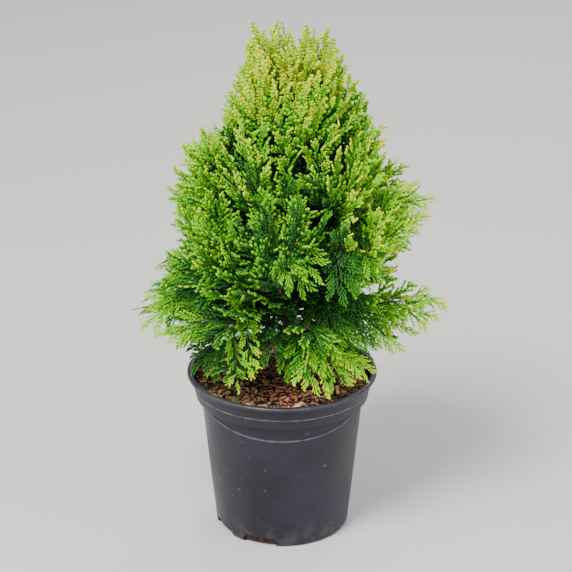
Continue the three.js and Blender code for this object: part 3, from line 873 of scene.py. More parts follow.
@dataclass
class Pot:
    """The round nursery pot: rolled lip, stepped collar, creased wall and drain notches.

    From each height of row_gaps up, the rows of the wall are the gap beside it apart.
    """

    height: float = 167.0
    lip_radius: float = 95.0
    lip_height: float = 4.6
    # Painted highlight: a pale band along the top of the rolled lip.
    lip_highlight: Swell = Swell(0.35, 1.2)
    collar_top: float = 91.0
    collar_bottom: float = 86.5
    collar_height: float = 26.0
    step_height: float = 6.0
    step_round: Pair = (3.2, 0.6)
    body_top: float = 80.5
    base_radius: float = 67.5
    corner_radius: float = 4.0
    wall: float = 1.5
    floor: float = 2.0
    first_ring: float = 4.0
    row_gaps: tuple[Pair, ...] = (
        (7, 3), (118, 0.5), (138, 0.35), (142, 1), (149, 0.3), (153, 1),
    )
    columns: int = 160
    ridge_height: float = 151.0
    ridge: Swell = Swell(0.45, 0.7)
    ridge_wear: Swell = Swell(1.0, 0.55)
    wear_behind: float = 0.35
    crease_gap: float = 4.0
    crease_drop: float = 13.0
    crease_half_angle: float = 64.0
    crease_power: float = 0.8
    crease_fade: Pair = (0.05, 0.35)
    # Painted highlight: a pale line along the crease under the collar.
    crease_highlight: Swell = Swell(0.75, 0.7)
    bead: Swell = Swell(0.35, 0.9)
    pinch: float = 0.7
    pinch_from: Pair = (-0.5, 2.5)
    pinch_run: float = 3.0
    sway: float = 0.35
    sway_turn: float = 40.0
    sway_rise: float = 60.0
    dirt_rise: Pair = (2.0, 34.0)
    notch_width: float = 34.0
    notch_height: float = 9.0
    notch_corner: float = 5.0
    notch_depth: float = 9.0
    notch_azimuths: tuple[float, ...] = (207, 250, 27, 70)

    @property
    def step(self) -> float:
        """The height where the collar starts."""
        return self.height - self.collar_height

    @property
    def crease_top(self) -> float:
        """The height that the crease rises to at its ends."""
        return self.step - self.crease_gap

    def outer_radius(self, height: Array) -> Array:
        """The wall's outer radius at heights over the foot's corner: body, rounded step and collar."""
        body_heights = [self.corner_radius, self.step - self.step_height]
        body = np.interp(height, body_heights, [self.base_radius, self.body_top])
        collar = np.interp(height, [self.step, self.height], [self.collar_bottom, self.collar_top])
        below, above = self.step_round
        return body + (collar - body) * smooth_step(height, self.step - below, self.step + above)

    def outline(self) -> Array:
        """The pot's closed profile, from the underside's middle up the outside and down the inside."""
        quarter = np.radians(np.linspace(0, 90, 7))
        corner = self.corner_radius
        foot = pairs(self.base_radius - corner * (1 - np.sin(quarter)), corner * (1 - np.cos(quarter)))
        under = pairs(np.linspace(self.first_ring, self.base_radius - corner - 1, 12), 0)
        bands = (*self.row_gaps, (self.height - self.lip_height, 0))
        rows = [np.arange(start, end, gap) for (start, gap), (end, _) in zip(bands, bands[1:])]
        rise = np.concatenate(rows)
        roll = np.radians(np.linspace(-80, 90, 12))
        half = self.lip_height / 2
        lip = pairs(self.lip_radius - half + half * np.cos(roll), self.height - half + half * np.sin(roll))
        mouth = self.collar_top - self.wall
        inner_lip = [[mouth + 1.2, self.height - 0.1], [mouth, self.height - 1]]
        fall = np.linspace(self.height - 4, self.floor + 4, 50)
        bottom = pairs(np.linspace(self.base_radius - self.wall - 2, self.first_ring, 10), self.floor)
        outside = pairs(self.outer_radius(rise), rise)
        inside = pairs(self.outer_radius(fall) - self.wall, fall)
        return np.concatenate(
            [[[0, 0]], under, foot, outside, lip, inner_lip, inside, bottom, [[0, self.floor]]]
        )

    def off_front(self, points: Array) -> Array:
        """How many degrees points are turned from the front, from -180 to 180."""
        return (azimuth_of(points) + 90 + 180) % 360 - 180

    def crease(self, points: Array) -> tuple[Array, Array]:
        """The crease under the collar, which sags in front by a power of the angle's cosine.

        Args:
            points: the pot's points.

        Returns:
            How far over the crease each point is, and how strong it is there, from 0 to 1.
        """
        turn = np.clip(self.off_front(points) / self.crease_half_angle, -1, 1)
        dip = np.cos(np.radians(turn * 90)) ** self.crease_power
        over = points[:, 2] - (self.crease_top - self.crease_drop * dip)
        return over, smooth_step(dip, *self.crease_fade)

    def swelling(self, points: Array, outer: Array) -> Array:
        """How far the points of the wall move out from the plain turned shape.

        All sway in and out twice in a turn. Outside there are also a pinch over the crease, a bead
        along it and the ridge, with bell curves as their sections.

        Args:
            points: the pot's points.
            outer: which of them are on the wall's outside.

        Returns:
            The distance for each point.
        """
        height = points[:, 2]
        over, strength = self.crease(points)
        turn = np.radians(2 * azimuth_of(points) + self.sway_turn)
        sway = self.sway * np.cos(turn) * smooth_step(height, 0, self.sway_rise)
        pinch_top = self.crease_top + self.pinch_run
        fade = 1 - smooth_step(height, self.crease_top, pinch_top)
        pinch = -self.pinch * smooth_step(over, *self.pinch_from) * fade
        crease = (pinch + self.bead.at(over)) * strength * (height < pinch_top)
        return sway + np.where(outer, crease + self.ridge.at(height - self.ridge_height), 0)

    def wear_and_highlight(self, points: Array) -> Array:
        """How pale points are painted: a scuff over the ridge, most in front, and painted highlights along
        the crease and on the lip, all bell curves.
        """
        height = points[:, 2]
        over, strength = self.crease(points)
        front = smooth_step(np.cos(np.radians(self.off_front(points))), -0.2, 0.8)
        front = self.wear_behind + (1 - self.wear_behind) * front
        scuff_and_highlight = self.ridge_wear.at(height - self.ridge_height) * front
        # Painted highlights along the crease and on the lip.
        scuff_and_highlight += self.crease_highlight.at(over) * strength
        scuff_and_highlight += self.lip_highlight.at(height - self.height + self.lip_highlight.width)
        return scuff_and_highlight

    def build(self) -> None:
        """Turns the profile, creases its wall, cuts the notches and dresses it."""
        points, faces = lathe(self.outline(), self.columns)
        radius = np.hypot(points[:, 0], points[:, 1])
        height = points[:, 2]
        outer = np.abs(radius - self.outer_radius(height)) < 0.2
        outer &= (height > self.corner_radius) & (height < self.height - self.lip_height)
        # Pale marks: the ridge's scuff, plus painted highlights on the crease and the lip.
        scuff_and_highlight = np.where(outer | (height > self.height - 5), self.wear_and_highlight(points), 0)
        away = np.where(radius[:, None] > 1, points[:, :2] / np.maximum(radius, 1)[:, None], 0)
        points[:, :2] += away * self.swelling(points, outer)[:, None]

        piece = write_piece("pot_shell", points, faces, PlasticFinish().make())
        add_mask(piece, "scuff_and_highlight", scuff_and_highlight)
        add_mask(piece, "dirt", 1 - smooth_step(height, *self.dirt_rise))
        self.cut_notches(piece)
        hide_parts("pot")

    def notch(self) -> Array:
        """A notch's outline, as distances aside and heights: an arch with round corners."""
        half, corner = self.notch_width / 2, self.notch_corner
        arc = np.radians(np.linspace(0, 90, 7))
        level = self.notch_height - corner + corner * np.sin(arc)
        right = pairs(half - corner + corner * np.cos(arc), level)
        return np.concatenate([[[half, -2]], right, right[::-1] * (-1, 1), [[-half, -2]]])

    def make_cutter(self) -> Piece:
        """The bodies that cut the notches: the arch carried outwards through the wall."""
        arch = self.notch()
        count = len(arch)
        ring = np.arange(count)
        after = (ring + 1) % count
        sides = np.stack([ring, after, after + count, ring + count], axis=1)
        joined = Gathered()
        for azimuth in self.notch_azimuths:
            face = arch[:, :1] * heading(azimuth + 90) + arch[:, 1:] * UP
            inner = face + heading(azimuth) * (self.base_radius - self.notch_depth)
            outer = face + heading(azimuth) * (self.base_radius + self.notch_depth)
            joined.add(np.concatenate([inner, outer]), [sides, np.stack([ring[::-1], ring + count])])
        faces = [face for parts in joined.faces.values() for part in parts for face in part.tolist()]
        return plain_object("notch_cutters", np.concatenate(joined.points), faces)

    def cut_notches(self, piece: Piece) -> None:
        """Cuts the arched drain notches through the wall and the floor's edge."""
        cutter = self.make_cutter()
        cut = piece.modifiers.new("notches", "BOOLEAN")
        cut.object = cutter
        cut.operation = "DIFFERENCE"
        cut.solver = "EXACT"
        bpy.context.view_layer.update()
        shown = piece.evaluated_get(bpy.context.evaluated_depsgraph_get())
        finished = bpy.data.meshes.new_from_object(shown)
        piece.modifiers.clear()
        piece.data = finished
        bpy.data.objects.remove(cutter)


class Chip(Enum):
    """The kinds of loose matter on the compost, with their browns."""

    PEAT = CompostFinish("chip_peat", (0.02, 0.009, 0.006), (0.06, 0.028, 0.018))
    RUST = CompostFinish("chip_rust", (0.46, 0.16, 0.065), (0.95, 0.43, 0.19))
    RED = CompostFinish("chip_red", (0.4, 0.09, 0.06), (0.76, 0.24, 0.14))
    TAN = CompostFinish("chip_tan", (0.6, 0.36, 0.2), (0.9, 0.66, 0.42))
    MOSS = CompostFinish("chip_moss", (0.07, 0.09, 0.02), (0.2, 0.22, 0.07))


BOX_FACES = np.array([[0, 1, 3, 2], [4, 6, 7, 5], [0, 4, 5, 1], [2, 3, 7, 6], [0, 2, 6, 4], [1, 5, 7, 3]])


@dataclass
class Compost:
    """The compost in the pot, with bark fibres, coarse chips and a little moss on it.

    A chip is peat, rust or red where its lot is under the share beside them, less a part of it in
    front, and tan otherwise. Some of those near the moss's middle are moss instead.
    """

    top: float = 158.0
    edge_top: float = 156.0
    edge_radius: float = 86.5
    gap: float = 0.45
    floor_gap: float = 0.3
    seat_radius: float = 20.0
    lump_height: float = 2.0
    lump_length: float = 17.0
    rings: int = 46
    columns: int = 150
    seed: int = 11
    pieces: int = 3400
    lengths: Pair = (2, 13)
    widths: Pair = (0.14, 0.42)
    thickness: Pair = (0.5, 1.6)
    pitch: float = 0.22
    roll: float = 0.4
    lifts: Pair = (-0.2, 1.3)
    coarse: int = 9
    coarse_length: float = 15.0
    coarse_width: float = 4.5
    coarse_ring: Pair = (26.0, 50.0)
    trunk_clear: float = 8.5
    wall_clear: float = 0.3
    front: Pair = (20.0, 70.0)
    shares: tuple[Pair, ...] = ((0.3, 0.14), (0.62, 0), (0.8, 0.04))
    moss_place: Pair = (-62.0, -40.0)
    moss_radius: float = 26.0
    moss_share: float = 0.45

    def height_at(self, x: Array, y: Array, trunk: Array) -> Array:
        """The top's height at points: flat under the trunk, with crossed waves elsewhere."""
        radius = np.hypot(x - trunk[0], y - trunk[1])
        share = smooth_step(radius, self.seat_radius, 2 * self.seat_radius)
        fall = smooth_step(radius, 2 * self.seat_radius, self.edge_radius)
        k = 2 * np.pi / self.lump_length
        lumps = np.sin(k * x + 1.3) * np.cos(k * y) + 0.5 * np.sin(0.6 * k * (x - y))
        return self.top + (self.edge_top - self.top) * fall + share * self.lump_height * lumps / 1.5

    def build(self, crown: Crown, pot: Pot) -> None:
        """Makes the body of compost and what lies on it.

        Args:
            crown: the crown, for the trunk's place.
            pot: the pot that the compost fills.
        """
        trunk = crown.trunk_at(0.0)
        inset = pot.wall + self.gap
        side = np.linspace(pot.floor + 3, self.edge_top - 2.5, 30)
        wall = pairs(pot.outer_radius(side) - inset, side)
        edge = wall[-1, 0]
        cover = pairs(np.linspace(edge, edge / self.rings, self.rings), self.edge_top)
        floor = pot.floor + self.floor_gap
        foot = [[0, floor], [pot.base_radius - inset - 2, floor]]
        points, faces = lathe(np.concatenate([foot, wall, cover, [[0, self.top]]]), self.columns)
        top = points[:, 2] > self.edge_top - 0.1
        rough = 0.9 * ripples(points[top, :2], 7, 3) + 0.5 * ripples(points[top, :2], 3, 4)
        points[top, 2] = self.height_at(points[top, 0], points[top, 1], trunk) + rough - 0.4
        body = CompostFinish("compost_body", (0.016, 0.008, 0.006), (0.07, 0.03, 0.02), 260.0)
        piece = write_piece("compost_body", points, faces, body.make())
        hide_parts("soil")
        self.scatter(trunk, edge)

    def scatter(self, trunk: Array, edge: float) -> None:
        """Strews flat splinters of bark over the top, each kind joined into one piece.

        Args:
            trunk: where the trunk stands.
            edge: the radius of the compost's edge.
        """
        source = np.random.default_rng(self.seed)
        x, y = self.places(source, edge)
        sizes = self.sizes(source)
        axes = self.axes(source)
        height = self.height_at(x, y, trunk) + source.uniform(*self.lifts, self.pieces)
        corner = np.array([[a, b, c] for a in (-1, 1) for b in (-1, 1) for c in (-1, 1)], float)
        ragged = corner * source.uniform(0.55, 1.0, (self.pieces, 8, 3)) / 2
        middle = np.stack([x, y, height], axis=1)[:, None]
        reach = [size[:, None, None] * axis[:, None] for size, axis in zip(sizes, axes)]
        points = sum((ragged[..., k : k + 1] * reach[k] for k in range(3)), middle)
        inside = np.hypot(points[..., 0], points[..., 1]).max(axis=1) <= edge - self.wall_clear
        clear = np.hypot(x - trunk[0], y - trunk[1]) >= self.trunk_clear
        kind = self.kinds(source, x, y)
        for number, chip in enumerate(Chip):
            mesh, faces = copies(points[(kind == number) & inside & clear], BOX_FACES)
            write_piece(chip.value.name, mesh, faces, chip.value.make(), False)

    def places(self, source: np.random.Generator, edge: float) -> tuple[Array, Array]:
        """Where the splinters lie: spread evenly, but the coarse ones first, by the golden angle."""
        azimuth = source.uniform(0, 2 * np.pi, self.pieces)
        out = edge * np.sqrt(source.uniform(0, 0.985, self.pieces))
        x, y = out * np.cos(azimuth), out * np.sin(azimuth)
        coarse = np.arange(self.coarse)
        turn = np.radians(coarse * GOLDEN_ANGLE)
        nearest, width = self.coarse_ring
        reach = nearest + width * np.sqrt((coarse + 0.5) / self.coarse)
        x[: self.coarse], y[: self.coarse] = reach * np.cos(turn), reach * np.sin(turn)
        return x, y

    def sizes(self, source: np.random.Generator) -> tuple[Array, Array, Array]:
        """How long, wide and thick the splinters are: many short ones and a few long ones."""
        length = source.lognormal(1.45, 0.5, self.pieces).clip(*self.lengths)
        width = length * source.uniform(*self.widths, self.pieces)
        length[: self.coarse] = self.coarse_length
        width[: self.coarse] = self.coarse_width
        return length, width, (width * 0.4).clip(*self.thickness)

    def axes(self, source: np.random.Generator) -> tuple[Array, Array, Array]:
        """The unit vectors along, across and through the splinters, which lie nearly flat."""
        yaw = source.uniform(0, 2 * np.pi, self.pieces)
        pitch = source.normal(0, self.pitch, self.pieces)
        roll = source.normal(0, self.roll, self.pieces)
        ahead = np.stack([np.cos(yaw) * np.cos(pitch), np.sin(yaw) * np.cos(pitch), np.sin(pitch)], axis=1)
        level = np.stack([-np.sin(yaw), np.cos(yaw), np.zeros(self.pieces)], axis=1)
        above = np.cross(ahead, level)
        aside = level * np.cos(roll)[:, None] + above * np.sin(roll)[:, None]
        return ahead, aside, np.cross(ahead, aside)

    def kinds(self, source: np.random.Generator, x: Array, y: Array) -> Array:
        """The number of each splinter's kind, by lot and by where it lies."""
        lot = source.uniform(0, 1, self.pieces)
        front = smooth_step(-y, *self.front)
        under = [lot < share - less * front for share, less in self.shares]
        kind = np.select(under, list(range(len(under))), len(under))
        near = np.hypot(x - self.moss_place[0], y - self.moss_place[1]) < self.moss_radius
        mossy = near & (source.uniform(0, 1, self.pieces) < self.moss_share)
        return np.where(mossy, list(Chip).index(Chip.MOSS), kind)


@dataclass
class Limbs:
    """The trunk and its boughs, in fibrous bark."""

    crown: Crown
    foot_radius: float = 6.6
    tip_radius: float = 0.9
    flare: Swell = Swell(3.4, 7.0)
    sink: float = 0.2
    fibre_counts: tuple[int, ...] = (7, 11, 17)
    fibre_height: float = 0.07
    strip_height: float = 0.045
    trunk_rows: int = 220
    trunk_columns: int = 64
    bough_rows: int = 30
    bough_columns: int = 12
    bough_taper: float = 0.6
    bough_swell: float = 0.35
    bough_swell_length: float = 9.0
    bough_relief: float = 0.06
    least_entry: float = 0.02
    stem_tip: float = 0.9

    def trunk_radius(self, share: Array) -> Array:
        """The trunk's radius at shares of its height: a taper and a bell-shaped root flare."""
        rise = share * (self.crown.tip_height - self.crown.soil_top)
        return self.foot_radius + (self.tip_radius - self.foot_radius) * share + self.flare.at(rise)

    def build(self) -> None:
        """Makes the trunk and the boughs."""
        old = BarkFinish("bark_trunk", (0.05, 0.02, 0.013), (0.2, 0.085, 0.05), (0.36, 0.2, 0.13))
        young = BarkFinish("bark_bough", (0.07, 0.03, 0.016), (0.2, 0.1, 0.05), (0.3, 0.2, 0.09), 5.0)
        self.build_trunk(old.make())
        self.build_boughs(young.make())

    def build_trunk(self, bark: Material) -> None:
        """The trunk: a tube whose radius has ridges and strips that wander as they rise.

        The ridges are sines of a few whole multiples of the angle. The strips are a sine of the
        height times a sine of five times the angle. Both are moved round by slow waves in height.
        """
        share = np.linspace(0, 1, self.trunk_rows)
        points = self.crown.trunk_at(share)
        points[0, 2] -= self.sink
        angle = 2 * np.pi * np.arange(self.trunk_columns) / self.trunk_columns
        rise = points[:, 2:]
        drift = 0.9 * np.sin(rise / 31) + 0.35 * np.sin(rise / 11 + 2)
        fibres = sum(np.sin(k * angle + k * 0.11 * drift + 1.7 * k) / 3 for k in self.fibre_counts)
        strips = np.sin(rise / 4.3 + 3 * np.cos(2 * angle)) * np.sin(5 * angle + drift)
        relief = 1 + self.fibre_height * fibres + self.strip_height * strips
        radius = self.trunk_radius(share)[:, None] * relief
        ways = unit(np.gradient(points, axis=0))
        mesh, faces, around = tube(points, ways, radius, heading(0), self.trunk_columns)
        piece = write_piece("trunk_bark", mesh, faces, bark)
        add_map(piece, around, per_ring(points[:, 2], self.trunk_columns))
        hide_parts("trunk")

    def build_boughs(self, bark: Material) -> None:
        """Every bough with the stem that it becomes inside its foliage, joined into one piece."""
        joined = Gathered()
        for bough in self.crown.boughs:
            self.add_bough(bough, joined)
        piece = joined.write("boughs_bark", "bark", bark)
        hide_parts(*[bough.node("bough") for bough in self.crown.boughs if not bough.tier.limbless])

    def add_bough(self, bough: Bough, joined: Gathered) -> None:
        """Adds a bough: a tapering tube with a swollen foot and crossed waves in its bark.

        Args:
            bough: the bough.
            joined: the meshes that it joins.
        """
        girth = bough.tier.girth
        share = np.linspace(0.0, bough.stem_to, self.bough_rows)
        places = [0, max(bough.entry, self.least_entry), bough.stem_to]
        radius = np.interp(share, places, [girth, self.bough_taper * girth, self.stem_tip])
        fall = np.exp(-share * bough.line.length() / self.bough_swell_length)
        radius = radius * (1 + self.bough_swell * fall)
        angle = 2 * np.pi * np.arange(self.bough_columns) / self.bough_columns
        length = share * bough.line.length()
        along = length[:, None]
        relief = self.bough_relief * np.sin(3 * angle + along / 7) * np.sin(along / 2.3 + 2 * angle)
        radii = radius[:, None] * (1 + relief)
        ways = bough.line.way(share)
        mesh, faces, around = tube(bough.line.at(share), ways, radii, bough.across, self.bough_columns)
        joined.add(mesh, faces, around, per_ring(length, self.bough_columns))


@dataclass(frozen=True)
class SprayShape:
    """A flat spray of scale leaves: an axis with branchlets by turns, each a few scales long.

    A scale is as long as some steps, which is its overlap, and the one that ends a branchlet is
    wider by its knob. Branchlets are as long as reach near the axis's foot, and shorter by the
    taper at its tip. Scales past the shares of the axis in ages are young, and then tips.
    """

    length: float
    branchlets: int
    angle: float
    reach: float
    step: float
    overlap: float
    width: float
    knob: float
    thickness: float
    seed: int
    bare: float = 0.06
    leafy: float = 0.84
    taper: float = 0.6
    ages: Pair = (0.5, 0.85)
    closing: float = 0.25
    curl: float = 0.3
    slender: float = 0.94
    widest: float = 0.64

    def scales(self) -> Array:
        """Every scale of the spray.

        Returns:
            Rows of forward, aside, angle in radians, length, half width, and age: 0 on the axis,
            1 on a branchlet and 2 at its tip.
        """
        source = np.random.default_rng(self.seed)
        rows: list[tuple[float, ...]] = []
        count = int(self.length / self.step)
        for i in range(count):
            age = sum(i > share * count for share in self.ages)
            rows.append((i * self.step, 0, 0, self.overlap * self.step, self.width / 2, age))
        for k in range(self.branchlets):
            share = self.bare + self.leafy * (k + source.uniform(0.3, 0.7)) / self.branchlets
            side = 1 if k % 2 else -1
            size = self.reach * (1 - self.taper * share**1.5) * source.uniform(0.8, 1.15)
            angle = self.angle * (1 - self.closing * share) + source.uniform(-6, 6)
            self.branch(rows, share, side * np.radians(angle), size)
        return np.array(rows)

    def branch(self, rows: list[tuple[float, ...]], share: float, angle: float, size: float) -> None:
        """Adds one branchlet to the rows: it curves forward to a knobbed tip.

        Args:
            rows: the scales so far.
            share: where it leaves the axis, as a share of the axis.
            angle: the angle that it leaves at, in radians.
            size: its length.
        """
        forward, aside = share * self.length, 0.0
        count = max(1, round(size / self.step))
        for i in range(count):
            age = 2 if share > 0.3 and i >= max(count - 2, 1) else 1
            width = self.width * (self.knob if i == count - 1 else self.slender) / 2
            rows.append((forward, aside, angle, self.overlap * self.step, width, age))
            forward += self.step * np.cos(angle)
            aside += self.step * np.sin(angle)
            angle *= 1 - self.curl / count

    def solid(self) -> tuple[Array, Array]:
        """The spray as flattened octahedra, one for each scale.

        Returns:
            Points as scales by 6 by 3, and each scale's age.
        """
        forward, aside, angle, length, half, age = self.scales().T
        flat = np.zeros(len(angle))
        ahead = np.stack([np.cos(angle), np.sin(angle), flat], axis=1)
        side = np.stack([-np.sin(angle), np.cos(angle), flat], axis=1) * half[:, None]
        root = np.stack([forward, aside, flat], axis=1)
        middle = root + ahead * (self.widest * length)[:, None]
        thick = np.array([0, 0, self.thickness / 2])
        tip = root + ahead * length[:, None]
        corners = [root, middle + side, middle + thick, middle - side, middle - thick, tip]
        return np.stack(corners, axis=1), age.astype(int)


SCALE_FACES = np.array(
    [[0, 2, 1], [0, 3, 2], [0, 4, 3], [0, 1, 4], [5, 1, 2], [5, 2, 3], [5, 3, 4], [5, 4, 1]]
)


class Form(Enum):
    """The forms that sprays take: plumes high up, open fans low down, plain ones deep inside."""

    PLUME = SprayShape(31, 5, 27, 13.5, 3.9, 1.9, 3.8, 1.06, 2.9, 1)
    PLUME_SLIM = SprayShape(32, 5, 22, 12, 3.9, 1.9, 3.8, 1.06, 2.9, 2)
    PLUME_WIDE = SprayShape(29, 6, 32, 13.5, 3.9, 1.9, 3.8, 1.06, 2.9, 3)
    CREST = SprayShape(26, 5, 24, 8.5, 4.2, 1.5, 4.7, 1.2, 4.1, 7)
    FAN = SprayShape(36, 8, 30, 13, 4.0, 1.95, 3.1, 1.0, 1.8, 4)
    FAN_LONG = SprayShape(40, 8, 27, 14.5, 4.0, 1.95, 3.1, 1.0, 1.8, 5)
    OPEN = SprayShape(35, 5, 38, 16, 4.0, 1.9, 3.9, 1.12, 2.4, 8)
    INSIDE = SprayShape(40, 8, 34, 15, 5.4, 1.55, 3.4, 1.1, 1.8, 6)


Forms = tuple[Form, ...]
Tints = tuple[Tint, Tint, Tint]
Chances = tuple[tuple[float, Tint], ...]

PLUMES = (Form.PLUME, Form.PLUME_SLIM, Form.PLUME_WIDE)
CRESTS = (Form.CREST,)
FANS = (Form.FAN, Form.FAN_LONG)
OPENS = (Form.OPEN,)
PLAIN = (Form.INSIDE,)

HIDDEN = (Tint.SHADE, Tint.SHADE, Tint.DEEP)
DARK = (Tint.SHADE, Tint.DEEP, Tint.FERN)
GREEN = (Tint.DEEP, Tint.FERN, Tint.LEAF)
CLEAR = (Tint.FERN, Tint.LEAF, Tint.FRESH)
BRIGHT = (Tint.LEAF, Tint.FRESH, Tint.LIME)
SUNNY = (Tint.FRESH, Tint.LIME, Tint.YELLOW)
GILT = (Tint.LEAF, Tint.LIME, Tint.GOLD)


def pick(chances: Chances, lot: float) -> Tint:
    """The first colour whose share is above a lot from 0 to 1, or else the last one."""
    return next((tint for share, tint in chances if lot < share), chances[-1][1])


class Palette(Enum):
    """The colours of the sprays in one part of the crown, each up to its share of the lots.

    The three rows are for the axis of a spray, for its branchlets and for their tips.
    """

    TOP = (
        ((0.7, Tint.OLIVE), (1, Tint.LIME)),
        ((0.55, Tint.YELLOW), (1, Tint.OLIVE)),
        ((0.56, Tint.GOLD), (0.78, Tint.YELLOW), (1, Tint.BRONZE)),
    )
    HIGH = (
        ((1, Tint.LEAF),),
        ((0.5, Tint.FRESH), (1, Tint.LIME)),
        ((0.62, Tint.YELLOW), (0.86, Tint.LIME), (1, Tint.GOLD)),
    )
    MIDDLE = (
        ((0.6, Tint.LEAF), (1, Tint.DEEP)),
        ((1, Tint.FRESH),),
        ((0.6, Tint.LIME), (0.85, Tint.YELLOW), (1, Tint.FRESH)),
    )
    SIDE = (
        ((0.6, Tint.DEEP), (1, Tint.FERN)),
        ((1, Tint.LEAF),),
        ((0.5, Tint.LIME), (0.85, Tint.FRESH), (1, Tint.YELLOW)),
    )
    LOW = (
        ((0.6, Tint.DEEP), (1, Tint.SHADE)),
        ((0.7, Tint.FERN), (1, Tint.DEEP)),
        ((0.5, Tint.FRESH), (0.72, Tint.LIME), (1, Tint.LEAF)),
    )

    def deal(self, light: float, lot: float) -> Tints:
        """The three colours that two lots give: one for the axis and branchlets, one for the tips."""
        axis, branchlets, tips = self.value
        return pick(axis, light), pick(branchlets, light), pick(tips, lot)


@dataclass
class Spray:
    """One spray in its place, with a colour for its axis, its branchlets and their tips."""

    form: Form
    root: Array
    ahead: Array
    face: Array
    size: float
    droop: float
    sway: float
    tints: Tints = HIDDEN

    @property
    def tip(self) -> Array:
        """Where the spray's tip comes."""
        reach = self.form.value.length * self.size
        side = np.cross(self.face, self.ahead)
        return self.root + self.ahead * reach - self.face * self.droop * reach + side * self.sway * reach


@dataclass(frozen=True)
class Habit:
    """How sprays stand along a frond.

    They take the forms by turns, go from the first size to the last and stand spacing apart, each
    side at spread degrees to the frond. Each is rolled out of its plane by up to roll radians, and
    its tip falls by the share droop of its length. The tints are for the inner and outer sprays.
    """

    forms: Forms
    sizes: Pair
    spacing: float
    spread: float
    roll: float = 0.35
    droop: float = 0.08
    tints: tuple[Tints, Tints] | None = None


@dataclass(frozen=True)
class Frond:
    """One frond that the plant shows, by where it starts, ends and faces, and how far it arches.

    Its sprays take up its last leafy millimetres. They are of one size, with colours for the inner
    and the outer ones, and stand spacing apart.
    """

    root: Place
    tip: Place
    face: Place
    arch: float
    leafy: float
    size: float
    inner: Tints
    outer: Tints
    forms: Forms = (Form.FAN_LONG, Form.FAN)
    spacing: float = 6.0


